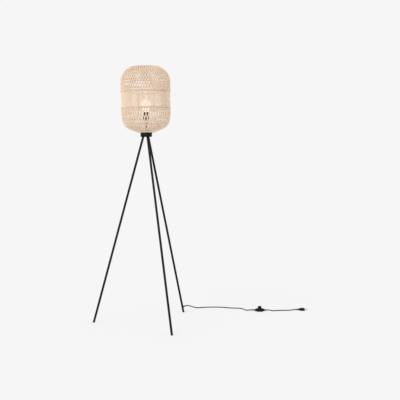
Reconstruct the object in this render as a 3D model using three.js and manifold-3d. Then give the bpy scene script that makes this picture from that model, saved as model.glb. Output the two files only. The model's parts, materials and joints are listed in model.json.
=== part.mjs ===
// A rattan floor lamp on three steel legs, in millimetres, with +Z up.
// The origin lies on the floor, in the middle of the box round the three feet.
import * as THREE from 'three';
import { mergeVertices } from 'three/addons/utils/BufferGeometryUtils.js';
import Module from 'manifold-3d';

const wasm = await Module();
wasm.setup();

const turn = 2 * Math.PI;
const degree = Math.PI / 180;

// Clearances that every piece shares
const gap = 0.3; // between pieces that touch
const overrun = 3; // how far a cutting tool runs past what it cuts

// Driving dimensions of the whole lamp
const totalHeight = 1500;
const shadeHeight = 380; // from the top of the hub
const footCircleRadius = 337; // where the legs' axes meet the floor
const legCircleRadius = 18.7; // where they meet the underside of the hub
const legAngles = { left: 180 * degree, front: -60 * degree, back: 60 * degree };

// Legs
const legRadius = 6;
const legWall = 1;
const legSeatDepth = 4.5; // how far the tube goes up into the hub
const capThickness = 3; // on the leg's axis, under the tube
const capPlugLength = 12;
const nippleRadius = 4.7;
const nippleBore = 3.4;
const nippleInTube = 14;
const nippleInHub = 12; // above the hub's underside

// Hub
const hubRadius = 33.5;
const hubHeight = 24;
const hubWall = 3;
const hubFloor = 9.5;
const lidThickness = 3;
const bossCircle = 25;
const bossRadius = 3.6;
const lidScrewRadius = 1.5;
const lidScrewHeadRadius = 2.8;
const lidScrewHeadHeight = 1.7;
const lidScrewLength = 8;

// Threaded rod through the lid, and its nut
const rodRadius = 4.7;
const rodBore = 3.4;
const rodHole = 5;
const rodNutAcross = 14; // across the flats
const rodNutHeight = 3;

// Stem tube on the rod, which clamps the shade's fitter to the hub
const stemRadius = 6.5;
const stemBore = 5.3;
const stemLength = 59.5;

// Shade
const shadeRadius = 144.5;
const wallThickness = 4;
const rimRadius = 82; // to the middle of the wrapped top rim
const rimTube = 5.5;
const wallToRim = 2.4;
const wallEndRise = 2.4; // from the middle of the rim up to the wall's top edge
const wallBottomRadius = 42;
const ringTube = 2.4;
const ringInset = 4.4; // from the wall's bottom edge in to the ring's middle
const hoopTube = 2;
const upperHoopShare = 0.626; // of the wall's height
const lowerHoopShare = 0.3736;
const fitterThickness = 1.6;
const fitterInset = 1.4; // from the wall's bottom edge
const fitterRingWidth = 6;
const fitterDiscRadius = 17;
const spokeWidth = 6;
// Outline from the bottom edge up to the full width: share of the way out, share of the wall's height
const lowerOutlineShares = [
  [0, 0], [0.234, 0.022], [0.507, 0.051], [0.698, 0.081], [0.81, 0.108], [0.883, 0.136],
  [0.937, 0.185], [0.968, 0.238], [0.991, 0.318], [1, 0.437], [1, 0.583],
];
// Outline from the full width in to the rim: share of the way out, share of the wall's height
const upperOutlineShares = [
  [0.998, 0.737], [0.976, 0.809], [0.899, 0.861], [0.732, 0.907], [0.474, 0.95],
  [0.225, 0.98], [0, 1],
];
const outlineSteps = 160; // for reading the wall's radius at a height
// Openings through the wall, in fields that the two hoops divide, from the bottom field up
const openingColumns = 24;
const openingRows = [4, 1, 4];
const openingWidthShare = 0.5; // of the way from one column to the next
const openingBand = 9; // of solid wall between two rows, and behind each hoop
const edgeBand = 12; // of solid wall at the top and bottom edges
const wallStep = 34; // at most, along the wall between its rings of corners
const shadeSides = 2 * openingColumns;

// Lampholder
const holderRadius = 16.5;
const holderWall = 2;
const holderNeckRadius = 7.5;
const holderNeckHeight = 6;
const holderConeHeight = 12;
const holderCapSkirt = 4;
const holderSleeveHeight = 33.7;
const holderRimRadius = 17.6;
const holderRimHeight = 6;
const insertHeight = 5;
const shellRadius = 14.2;
const shellWall = 0.6;
const shellHeight = 31.5;
const tongueHeight = 4.4;
const tongueWidth = 6;
const tongueThickness = 0.8;
const tongueLength = 10;
const sideContactWidth = 3;
const terminalCircle = 5.5;
const terminalRadius = 1.7;
const terminalLength = 3.5;

// Bulb, with a 27 mm screw cap
const bulbRadius = 30;
const bulbGlassWall = 0.9;
const bulbNeckRadius = 12.1;
const bulbGlassHeight = 88;
const bulbNeckInCap = 10;
const bulbCapCrest = 13.2;
const bulbCapRoot = 12.8;
const bulbCapBore = 12.4;
const bulbCapHeight = 20;
const bulbThreadTurns = 3;
const tipRadius = 4.8;
const tipHeight = 1.6;
const insulatorHeight = 4.4;
const insulatorTopRadius = 12;
const moduleRadius = 10.6;
const moduleHeight = 26;
// Glass from the cap's edge to the widest place: share of the way out, share of the flare's height
const bulbFlareShares = [[0, 0], [0.11, 0.1], [0.35, 0.31], [0.69, 0.54], [0.94, 0.8], [1, 1]];
const bulbFlareHeight = 48;

// Mains cable, its wires and the gland on the back leg
const cableRadius = 3;
const cableBore = 3.3; // of what the cable passes through
const cableInLegOffset = 1.7; // off the leg's axis at the gland's bend
const cableBendReach = 3.75; // from the bend's corner to its ends
const cableSplit = 8; // from the leg's axis to where the free cord begins, inside the gland
const glandHeight = 36;
const glandReach = 28; // from the leg's axis to the gland's tip
const glandRadius = 5;
const glandTipRadius = 3.8;
const glandNeckRadius = 3.9;
const glandNeckStart = 4.4; // from the leg's axis
const wireRadius = 1;
const wireOffset = 1.3;
const sheathAboveNipple = 1;

// Foot switch
const switchPlace = new THREE.Vector3(646, 326, 0); // from the lamp's axis
const switchHeading = 0;
const switchHalfLength = 31; // of the cut body
const switchTaper = 40; // half length of the pointed form that the body is cut from
const switchHalfWidth = 20;
const switchHalfHeight = 12.5;
const switchAxisHeight = 9;
const switchWall = 2;
const collarTop = 22.5;
const collarRadius = 13.6;
const buttonRadius = 11;
const buttonTop = 33;
const buttonSkirtBottom = 15;
const buttonFlangeRadius = 12.2;
const buttonFlangeHeight = 1.5;
const buttonWall = 1.5;
const buttonTopWall = 2.5;
const buttonBoreRadius = 11.3;
const buttonPocketRadius = 12.7;
const buttonPocketTop = 17.2;
const blockLength = 22;
const blockWidth = 14;
const blockTop = 8;
const springRadius = 6;
const springWire = 0.5;
const springTurns = 5;
const contactLength = 2.6;
const contactWidth = 8;
const contactTop = 9;
const switchScrewPlaces = [new THREE.Vector3(16, 8, 0), new THREE.Vector3(-16, -8, 0)];
const switchBossRadius = 3.1;
const switchBossTop = 17;
const switchScrewRadius = 1.3;
const switchScrewHeadRadius = 2.4;
const switchScrewHeadHeight = 1.6;
const switchScrewRecess = 0.7;
const switchScrewTop = 13.5;
const reliefLength = 27;
const reliefInBody = 7;
const reliefRadius = 4.4;
const reliefTipRadius = 3.7;

// Plug
const plugTip = new THREE.Vector3(945, 366, 0); // from the lamp's axis
const plugHeading = 8 * degree;
const plugLength = 35;
const plugHalfWidth = 17.6;
const plugRearHalfWidth = 6.5;
const plugThickness = 13.7;
const plugBevel = 1.6;
const plugCornerRadius = 4;
const plugReliefLength = 20;
const plugReliefRadius = 5.2;
const plugReliefTipRadius = 3.6;
const pinSpacing = 18.6;
const pinRadius = 2;
const pinReach = 19;
const pinDepth = 7;
const pinTipRadius = 1.1;

// Routes of the free cord, from the lamp's axis: points chosen by hand
const cordToSwitchPoints = [
  [167.27, 289.72, 36], [174.95, 303.02, 36], [182.45, 316.01, 36], [189, 327.2, 34.9], [196.5, 339.4, 31.6],
  [205, 352.6, 26.2], [215.5, 367.4, 19.2], [228, 382.8, 12.2], [243, 397.3, 6.6], [259.5, 410, 3.9],
  [279, 419.5, 3.2], [303, 426.5, 3.2], [335, 430.5, 3.2], [372, 431.5, 3.2], [406, 427, 3.2],
  [436, 415.5, 3.2], [468, 406, 3.2], [503, 402, 3.2], [530, 390, 3.2], [547, 367, 3.2],
  [560, 344, 3.6], [573, 330.6, 6.6], [586.7, 326, 9], [594.7, 326, 9],
];
const cordToPlugPoints = [
  [697.3, 326, 9], [705.3, 326, 9], [718, 327.6, 5.8], [731.5, 330.9, 3.6], [748, 336.2, 3.2],
  [775, 343.2, 3.2], [803, 347, 3.2], [830, 349.9, 3.2], [848, 352.4, 4.6], [863.46, 354.56, 7],
  [871.38, 355.67, 7],
];
const cordSides = 8;
const cordStep = 17; // along a cord, between rings of its tube

// Places that follow from the sizes above
const standHeight = totalHeight - shadeHeight - hubHeight; // floor to the underside of the hub
const lean = Math.atan2(footCircleRadius - legCircleRadius, standHeight);
const legLength = Math.hypot(footCircleRadius - legCircleRadius, standHeight);
const hubTop = standHeight + hubHeight;
const cavityRadius = hubRadius - hubWall;
const cavityBottom = standHeight + hubFloor;
const lidBottom = hubTop - lidThickness;
const rodBottom = lidBottom - 2 * gap - rodNutHeight;
const fitterBottom = hubTop + gap;
const fitterTop = fitterBottom + fitterThickness;
const stemBottom = fitterTop + gap;
const neckBottom = stemBottom + stemLength + gap;
const neckTop = neckBottom + holderNeckHeight;
const coneTop = neckTop + holderConeHeight;
const holderCapTop = coneTop + holderCapSkirt;
const insertTop = holderCapTop;
const insertBottom = insertTop - insertHeight;
const rodTop = neckTop + gap;
const sleeveBottom = holderCapTop + gap;
const tipBottom = insertTop + gap + tongueHeight + gap;
const insulatorBottom = tipBottom + tipHeight + gap;
const bulbCapBottom = insulatorBottom + insulatorHeight + gap;
const bulbCapTop = bulbCapBottom + bulbCapHeight;
const wallBottom = hubTop + gap;
const rimMiddle = totalHeight - rimTube;
const wallTop = rimMiddle + wallEndRise;
const wallTopRadius = rimRadius + rimTube + wallToRim;
const capReach = legRadius / Math.cos(lean);
const farSideReach = Math.hypot(capReach / 2, (legRadius * Math.sqrt(3)) / 2);
const axisOffset = (footCircleRadius / 2 + capReach - farSideReach) / 2;

// One closed body: shared corners merged, empty triangles left out, faces pointing out
function closed(geometry) {
  const bare = geometry.clone();
  bare.deleteAttribute('normal');
  bare.deleteAttribute('uv');
  const merged = mergeVertices(bare);
  const place = merged.getAttribute('position');
  const corners = merged.getIndex().array;
  const kept = [];
  const [a, b, c] = [new THREE.Vector3(), new THREE.Vector3(), new THREE.Vector3()];
  let sixVolumes = 0;
  for (let i = 0; i < corners.length; i += 3) {
    const [p, q, r] = [corners[i], corners[i + 1], corners[i + 2]];
    if (p === q || q === r || r === p) continue;
    kept.push(p, q, r);
    a.fromBufferAttribute(place, p);
    b.fromBufferAttribute(place, q);
    c.fromBufferAttribute(place, r);
    sixVolumes += a.dot(b.cross(c));
  }
  if (sixVolumes < 0) kept.reverse();
  merged.setIndex(kept);
  merged.computeVertexNormals();
  return merged;
}

function toSolid(geometry) {
  const body = closed(geometry);
  const vertProperties = new Float32Array(body.getAttribute('position').array);
  const triVerts = new Uint32Array(body.getIndex().array);
  return new wasm.Manifold(new wasm.Mesh({ numProp: 3, vertProperties, triVerts }));
}

function fromSolid(solid) {
  const mesh = solid.getMesh();
  const geometry = new THREE.BufferGeometry();
  geometry.setAttribute('position', new THREE.BufferAttribute(new Float32Array(mesh.vertProperties), 3));
  geometry.setIndex(new THREE.BufferAttribute(new Uint32Array(mesh.triVerts), 1));
  return closed(geometry);
}

function joined(...geometries) {
  return fromSolid(geometries.map(toSolid).reduce((sum, next) => sum.add(next)));
}

function cut(geometry, ...tools) {
  return fromSolid(tools.map(toSolid).reduce((rest, tool) => rest.subtract(tool), toSolid(geometry)));
}

function common(geometry, other) {
  return fromSolid(toSolid(geometry).intersect(toSolid(other)));
}

// A profile of [radius, height] points, spun round the Z axis
function spun(points, sides) {
  const profile = points.map(([radius, height]) => new THREE.Vector2(radius, height));
  return closed(new THREE.LatheGeometry(profile, sides).rotateX(Math.PI / 2));
}

function disc(radius, bottom, top, sides) {
  return spun([[0, bottom], [radius, bottom], [radius, top], [0, top]], sides);
}

function ring(bore, radius, bottom, top, sides) {
  return spun([[bore, bottom], [radius, bottom], [radius, top], [bore, top], [bore, bottom]], sides);
}

function hoop(radius, tube, height, sides, tubeSides) {
  return closed(new THREE.TorusGeometry(radius, tube, tubeSides, sides).translate(0, 0, height));
}

function block(length, width, bottom, top) {
  const middle = (bottom + top) / 2;
  return new THREE.BoxGeometry(length, width, top - bottom).translate(0, 0, middle);
}

// A round section swept along a curve
function tubeAlong(curve, radius, sides, steps) {
  const section = new THREE.Shape().absarc(0, 0, radius, 0, turn);
  return closed(new THREE.ExtrudeGeometry(section, { steps, curveSegments: sides / 2, extrudePath: curve }));
}

function finish(color, roughness, metalness) {
  return new THREE.MeshStandardMaterial({ color, roughness, metalness });
}

const blackSteel = finish(0x1d1d1e, 0.5, 0.6);
const blackPlastic = finish(0x161616, 0.55, 0);
const blackRubber = finish(0x202021, 0.75, 0);
const zincSteel = finish(0xb9bcc0, 0.35, 1);
const brass = finish(0xc8a24c, 0.3, 1);
const nickel = finish(0xc9c7c0, 0.3, 1);
const rattan = finish(0xdcb88f, 0.7, 0);
const rattanBinding = finish(0xcfa679, 0.7, 0);
const opalGlass = finish(0xfff4e2, 0.25, 0);
const aluminium = finish(0xd5d7da, 0.4, 0.9);
const brownWire = finish(0x6b3f22, 0.5, 0);
const blueWire = finish(0x2f62b5, 0.5, 0);

const object = new THREE.Group();
const lamp = new THREE.Group();
lamp.position.x = axisOffset;
object.add(lamp);

function place(parent, name, geometry, material) {
  const mesh = new THREE.Mesh(closed(geometry), material.clone());
  mesh.name = name;
  parent.add(mesh);
  return mesh;
}

// The group of one leg: its origin is where the axis meets the floor, +Z runs up the leg, +X points out
function legGroup(angle) {
  const group = new THREE.Group();
  group.position.set(footCircleRadius * Math.cos(angle), footCircleRadius * Math.sin(angle), 0);
  group.rotation.set(0, -lean, angle, 'ZYX');
  group.updateMatrix();
  return group;
}

function legTube() {
  return ring(legRadius - legWall, legRadius, capThickness + gap, legLength + legSeatDepth, 24);
}

function nipple() {
  const bottom = legLength + legSeatDepth - nippleInTube;
  return ring(nippleBore, nippleRadius, bottom, legLength + nippleInHub, 20);
}

// Plugged into the tube's end and cut level with the floor
function footCap() {
  const plugRadius = legRadius - legWall - gap;
  const base = disc(legRadius, -overrun, capThickness, 24);
  const plug = disc(plugRadius, 0, capThickness + capPlugLength, 24);
  const floorBlock = block(4 * legRadius, 4 * legRadius, -4 * overrun, 0).rotateY(lean);
  return cut(joined(base, plug), floorBlock);
}

function buildLegs() {
  for (const [side, angle] of Object.entries(legAngles)) {
    const group = legGroup(angle);
    const tube = side === 'back' ? cut(legTube(), glandHole()) : legTube();
    place(group, `leg_tube_${side}`, tube, blackSteel);
    place(group, `leg_nipple_${side}`, nipple(), zincSteel);
    place(group, `foot_cap_${side}`, footCap(), blackRubber);
    if (side === 'back') {
      place(group, 'cord_gland', gland(), blackRubber);
      place(group, 'cable_in_leg', cableInLeg(), blackPlastic);
    }
    lamp.add(group);
  }
}

// The gland's own frame has its axis along +X, level, so it is leaned back inside the leg's frame
const glandAlongLeg = glandHeight / Math.cos(lean);

function inLegFrame(geometry) {
  return geometry.rotateY(lean).translate(0, 0, glandAlongLeg);
}

// A piece spun round Z, laid along +X
function alongX(geometry) {
  return geometry.rotateY(Math.PI / 2);
}

function glandHole() {
  return inLegFrame(alongX(disc(glandNeckRadius + gap, 0, 2 * legRadius, 20)));
}

function gland() {
  const sleeve = alongX(spun([
    [0, 0], [glandRadius, 0], [glandRadius, legRadius + overrun],
    [glandTipRadius, glandReach], [0, glandReach],
  ], 20));
  const neck = alongX(disc(glandNeckRadius, glandNeckStart, legRadius + overrun, 20));
  const aroundLeg = disc(legRadius + gap, -legRadius * 3, legRadius * 3, 24).rotateY(-lean);
  const bore = alongX(disc(cableBore, -overrun, glandReach + overrun, 20));
  return inLegFrame(cut(joined(cut(sleeve, aroundLeg), neck), bore));
}

// From inside the gland through the leg's wall, round the bend and up to the hub
function cableInLeg() {
  const out = new THREE.Vector3(Math.cos(lean), 0, -Math.sin(lean));
  const axisPoint = new THREE.Vector3(0, 0, glandAlongLeg);
  const start = axisPoint.clone().addScaledVector(out, cableSplit - gap);
  const corner = axisPoint.clone().addScaledVector(out, -cableInLegOffset / Math.cos(lean));
  const bendStart = corner.clone().addScaledVector(out, cableBendReach);
  const top = new THREE.Vector3(0, 0, legLength + nippleInHub + sheathAboveNipple);
  const up = top.clone().sub(corner).normalize();
  const bendEnd = corner.clone().addScaledVector(up, cableBendReach);
  const beforeBend = bendStart.clone().addScaledVector(out, -gap);
  const afterBend = bendEnd.clone().addScaledVector(up, -gap);
  const entry = tubeAlong(new THREE.LineCurve3(start, beforeBend), cableRadius, 12, 1);
  const bend = tubeAlong(new THREE.QuadraticBezierCurve3(bendStart, corner, bendEnd), cableRadius, 12, 6);
  const run = tubeAlong(new THREE.LineCurve3(afterBend, top), cableRadius, 12, 1);
  return joined(entry, bend, run);
}

function bossAngles() {
  return Object.values(legAngles).map((angle) => angle + Math.PI);
}

function onBoss(geometry, angle) {
  return geometry.translate(bossCircle * Math.cos(angle), bossCircle * Math.sin(angle), 0);
}

function hubBody() {
  const cavity = disc(cavityRadius, cavityBottom, hubTop + overrun, 36);
  const bosses = bossAngles().map((angle) => (
    onBoss(disc(bossRadius, cavityBottom - gap, lidBottom - gap, 12), angle)
  ));
  const shell = joined(cut(disc(hubRadius, standHeight, hubTop, 36), cavity), ...bosses);
  const screwHoles = bossAngles().map((angle) => (
    onBoss(disc(lidScrewRadius + gap, hubTop - lidScrewLength - gap, hubTop, 12), angle)
  ));
  const legHoles = Object.values(legAngles).flatMap((angle) => {
    const matrix = legGroup(angle).matrix;
    const seat = disc(legRadius + gap, legLength - 2 * legRadius, legLength + legSeatDepth + gap, 20);
    const thread = disc(nippleRadius + gap, legLength, legLength + 2 * hubFloor, 16);
    return [seat.applyMatrix4(matrix), thread.applyMatrix4(matrix)];
  });
  return cut(shell, ...screwHoles, ...legHoles);
}

function hubLid() {
  const plate = ring(rodHole, cavityRadius - gap, lidBottom, hubTop, 36);
  const coneBottom = hubTop - lidScrewHeadHeight - gap;
  const sinks = bossAngles().map((angle) => onBoss(spun([
    [0, lidBottom - overrun], [lidScrewRadius + gap, lidBottom - overrun],
    [lidScrewRadius + gap, coneBottom], [lidScrewHeadRadius + gap, hubTop],
    [lidScrewHeadRadius + gap, hubTop + overrun], [0, hubTop + overrun],
  ], 16), angle));
  return cut(plate, ...sinks);
}

function lidScrew() {
  return spun([
    [0, hubTop - lidScrewLength], [lidScrewRadius, hubTop - lidScrewLength],
    [lidScrewRadius, hubTop - lidScrewHeadHeight], [lidScrewHeadRadius, hubTop], [0, hubTop],
  ], 16);
}

function rodNut() {
  const corner = rodNutAcross / 2 / Math.cos(Math.PI / 6);
  const top = lidBottom - gap;
  const hole = disc(rodHole, top - rodNutHeight - overrun, top + overrun, 20);
  return cut(disc(corner, top - rodNutHeight, top, 6), hole);
}

function buildHub() {
  place(lamp, 'hub_body', hubBody(), blackSteel);
  place(lamp, 'hub_lid', hubLid(), blackSteel);
  bossAngles().forEach((angle, i) => {
    place(lamp, `lid_screw_${i + 1}`, onBoss(lidScrew(), angle), zincSteel);
  });
  place(lamp, 'threaded_rod', ring(rodBore, rodRadius, rodBottom, rodTop, 24), zincSteel);
  place(lamp, 'rod_nut', rodNut(), zincSteel);
  place(lamp, 'stem_tube', ring(stemBore, stemRadius, stemBottom, stemBottom + stemLength, 28), blackSteel);
}

// The two wires leave the sheath in the hub, cross to the rod's bore and run up to the terminals
function wire(side) {
  const inward = new THREE.Vector3(-Math.cos(legAngles.back), -Math.sin(legAngles.back), 0);
  const across = new THREE.Vector3(-inward.y, inward.x, 0);
  const sheathEnd = nippleInHub + sheathAboveNipple + gap;
  const startRadius = legCircleRadius - sheathEnd * Math.sin(lean);
  const startHeight = standHeight + sheathEnd * Math.cos(lean);
  const crossing = (startHeight + rodBottom) / 2;
  const at = (radius, height, offset) => inward.clone().multiplyScalar(-radius)
    .addScaledVector(across, side * offset).setZ(height);
  return tubeAlong(new THREE.CatmullRomCurve3([
    at(startRadius, startHeight, wireOffset),
    at(startRadius - wireRadius, crossing, wireOffset),
    at(startRadius / 2, crossing, wireOffset),
    at(wireRadius, crossing, wireOffset),
    at(0, rodBottom + wireRadius, wireOffset),
    at(0, rodBottom + 6 * wireRadius, wireOffset),
    at(0, rodTop - 6 * wireRadius, wireOffset),
    at(0, rodTop, wireOffset),
    at(0, insertBottom - gap - terminalLength - 2 * wireRadius, terminalCircle),
    at(0, insertBottom - 2 * gap - terminalLength, terminalCircle),
  ], false, 'centripetal'), wireRadius, 6, 26);
}

function buildWires() {
  place(lamp, 'wire_live', wire(1), brownWire);
  place(lamp, 'wire_neutral', wire(-1), blueWire);
}

// The shade's outline: radius and height of the wall's outer face, from the bottom edge to the top
function shadeOutline() {
  const height = wallTop - wallBottom;
  const lower = lowerOutlineShares.map(([out, up]) => new THREE.Vector2(
    wallBottomRadius + out * (shadeRadius - wallBottomRadius), wallBottom + up * height,
  ));
  const upper = upperOutlineShares.map(([out, up]) => new THREE.Vector2(
    wallTopRadius + out * (shadeRadius - wallTopRadius), wallBottom + up * height,
  ));
  return new THREE.SplineCurve([...lower, ...upper]);
}

function wallRadiusAt(height) {
  const points = shadeOutline().getPoints(outlineSteps);
  const above = points.findIndex((point) => point.y >= height);
  const [low, high] = [points[above - 1], points[above]];
  return low.x + ((high.x - low.x) * (height - low.y)) / (high.y - low.y);
}

// How far along the outline it reaches a height, as a length
function lengthAtHeight(curve, height) {
  const total = curve.getLength();
  let [low, high] = [0, total];
  for (let i = 0; i < outlineSteps; i += 1) {
    const middle = (low + high) / 2;
    if (curve.getPointAt(middle / total).y < height) low = middle;
    else high = middle;
  }
  return low;
}

// The openings' rows as [start, end] lengths along the outline, shared out evenly in each field
function openingSpans(curve) {
  const hoops = [lowerHoopShare, upperHoopShare].map((share) => (
    lengthAtHeight(curve, wallBottom + share * (wallTop - wallBottom))
  ));
  const starts = [edgeBand, ...hoops.map((length) => length + openingBand / 2)];
  const ends = [...hoops.map((length) => length - openingBand / 2), curve.getLength() - edgeBand];
  return openingRows.flatMap((count, field) => {
    const pitch = (ends[field] - starts[field] + openingBand) / count;
    return Array.from({ length: count }, (unused, row) => {
      const start = starts[field] + row * pitch;
      return [start, start + pitch - openingBand];
    });
  });
}

// Stretches of the outline, each [start, end, open], that the wall's rings of corners divide
function wallStretches(curve) {
  const stretches = [];
  const add = (start, end, open) => {
    const count = Math.ceil((end - start) / wallStep);
    for (let i = 0; i < count; i += 1) {
      stretches.push([start + ((end - start) * i) / count, start + ((end - start) * (i + 1)) / count, open]);
    }
  };
  let place = 0;
  for (const [start, end] of openingSpans(curve)) {
    add(place, start, false);
    add(start, end, true);
    place = end;
  }
  add(place, curve.getLength(), false);
  return stretches;
}

// The woven canes' wall: one shell of the shade's outline with a plain grid of openings, open at both ends
function wovenWall() {
  const curve = shadeOutline();
  const total = curve.getLength();
  const stretches = wallStretches(curve);
  const rings = [0, ...stretches.map(([, end]) => end)].map((length) => {
    const point = curve.getPointAt(length / total);
    const along = curve.getTangentAt(length / total);
    return [[point.x, point.y], [point.x - along.y * wallThickness, point.y + along.x * wallThickness]];
  });
  const corners = [];
  for (let side = 0; side < shadeSides; side += 1) {
    const column = Math.floor(side / 2) + (side % 2 ? 1 - openingWidthShare : 0);
    const angle = (column / openingColumns) * turn;
    rings.forEach((faces) => faces.forEach(([radius, height]) => {
      corners.push(radius * Math.cos(angle), radius * Math.sin(angle), height);
    }));
  }
  const outer = (side, ring) => ((side % shadeSides) * rings.length + ring) * 2;
  const inner = (side, ring) => outer(side, ring) + 1;
  const triangles = [];
  const quad = (a, b, c, d) => triangles.push(a, b, c, a, c, d);
  const ledge = (from, to, ring) => (
    quad(outer(from, ring), inner(from, ring), inner(to, ring), outer(to, ring))
  );
  const jamb = (side, from, to) => (
    quad(outer(side, from), outer(side, to), inner(side, to), inner(side, from))
  );
  const isOpen = (side, row) => row < 0 || row >= stretches.length
    || ((side + shadeSides) % 2 === 1 && stretches[row][2]);
  for (let side = 0; side < shadeSides; side += 1) {
    const next = side + 1;
    for (let row = 0; row < stretches.length; row += 1) {
      const above = row + 1;
      if (isOpen(side, row)) continue;
      quad(outer(side, row), outer(next, row), outer(next, above), outer(side, above));
      quad(inner(side, row), inner(side, above), inner(next, above), inner(next, row));
      if (isOpen(side, row - 1)) ledge(side, next, row);
      if (isOpen(side, above)) ledge(next, side, above);
      if (isOpen(side - 1, row)) jamb(side, row, above);
      if (isOpen(next, row)) jamb(next, above, row);
    }
  }
  const shell = new THREE.BufferGeometry();
  shell.setAttribute('position', new THREE.BufferAttribute(new Float32Array(corners), 3));
  shell.setIndex(triangles);
  return closed(shell);
}

function bandHoop(share) {
  const height = wallBottom + share * (wallTop - wallBottom);
  const radius = wallRadiusAt(height) - wallThickness - 2 * gap - hoopTube;
  return hoop(radius, hoopTube, height, shadeSides, 6);
}

// A flat wheel under the shade: a disc on the rod, three spokes and a ring that carries the shade
function fitter() {
  const outerRadius = wallBottomRadius - fitterInset;
  const innerRadius = outerRadius - fitterRingWidth;
  const wheel = ring(innerRadius, outerRadius, fitterBottom, fitterTop, 36);
  const middle = disc(fitterDiscRadius, fitterBottom, fitterTop, 24);
  const spokeLength = innerRadius + fitterRingWidth / 2;
  const spokes = Object.values(legAngles).map((angle) => (
    block(spokeLength, spokeWidth, fitterBottom, fitterTop).translate(spokeLength / 2, 0, 0).rotateZ(angle)
  ));
  const hole = disc(rodHole, fitterBottom - overrun, fitterTop + overrun, 20);
  return cut(joined(wheel, middle, ...spokes), hole);
}

function buildShade() {
  const ringRadius = wallBottomRadius - ringInset;
  place(lamp, 'woven_wall', wovenWall(), rattan);
  place(lamp, 'top_rim', hoop(rimRadius, rimTube, rimMiddle, shadeSides, 8), rattanBinding);
  place(lamp, 'upper_hoop', bandHoop(upperHoopShare), rattanBinding);
  place(lamp, 'lower_hoop', bandHoop(lowerHoopShare), rattanBinding);
  place(lamp, 'bottom_ring', hoop(ringRadius, ringTube, fitterTop + gap + ringTube, 36, 6), rattanBinding);
  place(lamp, 'shade_fitter', fitter(), blackSteel);
}

function holderCap() {
  const inside = holderRadius - holderWall;
  return spun([
    [rodHole, neckBottom], [holderNeckRadius, neckBottom], [holderNeckRadius, neckTop],
    [holderRadius, coneTop], [holderRadius, holderCapTop], [inside + gap, holderCapTop],
    [inside + gap, insertBottom - gap], [inside - holderWall, insertBottom - gap],
    [holderNeckRadius, neckTop + holderWall], [rodHole, neckTop + holderWall], [rodHole, neckBottom],
  ], 24);
}

function holderSleeve() {
  const top = sleeveBottom + holderSleeveHeight;
  const bore = holderRadius - holderWall;
  return spun([
    [bore, sleeveBottom], [holderRadius, sleeveBottom], [holderRadius, top - holderRimHeight],
    [holderRimRadius, top - holderRimHeight + holderWall / 2], [holderRimRadius, top - holderWall / 2],
    [holderRimRadius - holderWall / 2, top], [bore, top], [bore, sleeveBottom],
  ], 24);
}

// A brass strip that arches up under the bulb's tip
function centreTongue() {
  const bottom = insertTop + gap;
  const half = tongueLength / 2;
  const top = tongueHeight;
  const foot = half - tongueThickness;
  const shape = new THREE.Shape([
    new THREE.Vector2(-half, 0), new THREE.Vector2(-foot, 0), new THREE.Vector2(-foot, top - tongueThickness),
    new THREE.Vector2(foot, top - tongueThickness), new THREE.Vector2(foot, 0), new THREE.Vector2(half, 0),
    new THREE.Vector2(half, top), new THREE.Vector2(-half, top),
  ]);
  const strip = new THREE.ExtrudeGeometry(shape, { depth: tongueWidth, bevelEnabled: false });
  return strip.translate(0, 0, -tongueWidth / 2).rotateX(Math.PI / 2).translate(0, 0, bottom);
}

// A brass foot that lies on the insert, inside the screw shell
function sideContact() {
  const reach = shellRadius - shellWall - gap;
  const inner = tongueLength / 2 + gap;
  const bottom = insertTop + gap;
  const foot = block(reach - inner, sideContactWidth, bottom, bottom + tongueThickness);
  return foot.translate((reach + inner) / 2 - gap, 0, 0);
}

function buildHolder() {
  const shellBottom = insertTop + gap;
  place(lamp, 'holder_cap', holderCap(), blackPlastic);
  place(lamp, 'holder_sleeve', holderSleeve(), blackPlastic);
  place(lamp, 'holder_insert', disc(holderRadius - holderWall, insertBottom, insertTop, 32), blackPlastic);
  const shell = ring(shellRadius - shellWall, shellRadius, shellBottom, shellBottom + shellHeight, 32);
  place(lamp, 'screw_shell', shell, nickel);
  place(lamp, 'centre_contact', centreTongue(), brass);
  place(lamp, 'side_contact', sideContact(), brass);
  for (const [name, side] of [['live', 1], ['neutral', -1]]) {
    const angle = legAngles.back - (side * Math.PI) / 2;
    const top = insertBottom - gap;
    const screw = disc(terminalRadius, top - terminalLength, top, 12);
    screw.translate(terminalCircle * Math.cos(angle), terminalCircle * Math.sin(angle), 0);
    place(lamp, `terminal_${name}`, screw, brass);
  }
}

// The opal bulb glass, open at the neck, where it sits in the cap
function bulbGlass() {
  const bottom = bulbCapTop - bulbNeckInCap;
  const top = bottom + bulbGlassHeight;
  const flareBottom = bulbCapTop + gap;
  const widest = top - bulbRadius;
  const flare = (shrink) => bulbFlareShares.map(([out, up]) => [
    bulbNeckRadius + out * (bulbRadius - bulbNeckRadius) - shrink, flareBottom + up * (widest - flareBottom),
  ]);
  const dome = (radius) => [22, 45, 68, 90].map((angle) => [
    Math.max(0, radius * Math.cos(angle * degree)), widest + radius * Math.sin(angle * degree),
  ]);
  const outer = [[bulbNeckRadius, bottom], ...flare(0), ...dome(bulbRadius)];
  const inner = [
    [bulbNeckRadius - bulbGlassWall, bottom], ...flare(bulbGlassWall), ...dome(bulbRadius - bulbGlassWall),
  ];
  return spun([...outer, ...inner.reverse(), outer[0]], 20);
}

// The threaded cap, with the thread as rounded ridges
function bulbCap() {
  const pitch = bulbCapHeight / (bulbThreadTurns + 1);
  const ridges = [];
  for (let i = 0; i < bulbThreadTurns; i += 1) {
    const middle = bulbCapBottom + (i + 1) * pitch;
    ridges.push([bulbCapRoot, middle - pitch / 2], [bulbCapCrest, middle]);
  }
  return spun([
    [bulbCapBore, bulbCapBottom], [bulbCapRoot, bulbCapBottom], ...ridges,
    [bulbCapRoot, bulbCapTop - pitch / 2], [bulbCapRoot, bulbCapTop], [bulbCapBore, bulbCapTop],
    [bulbCapBore, bulbCapBottom],
  ], 24);
}

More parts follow.
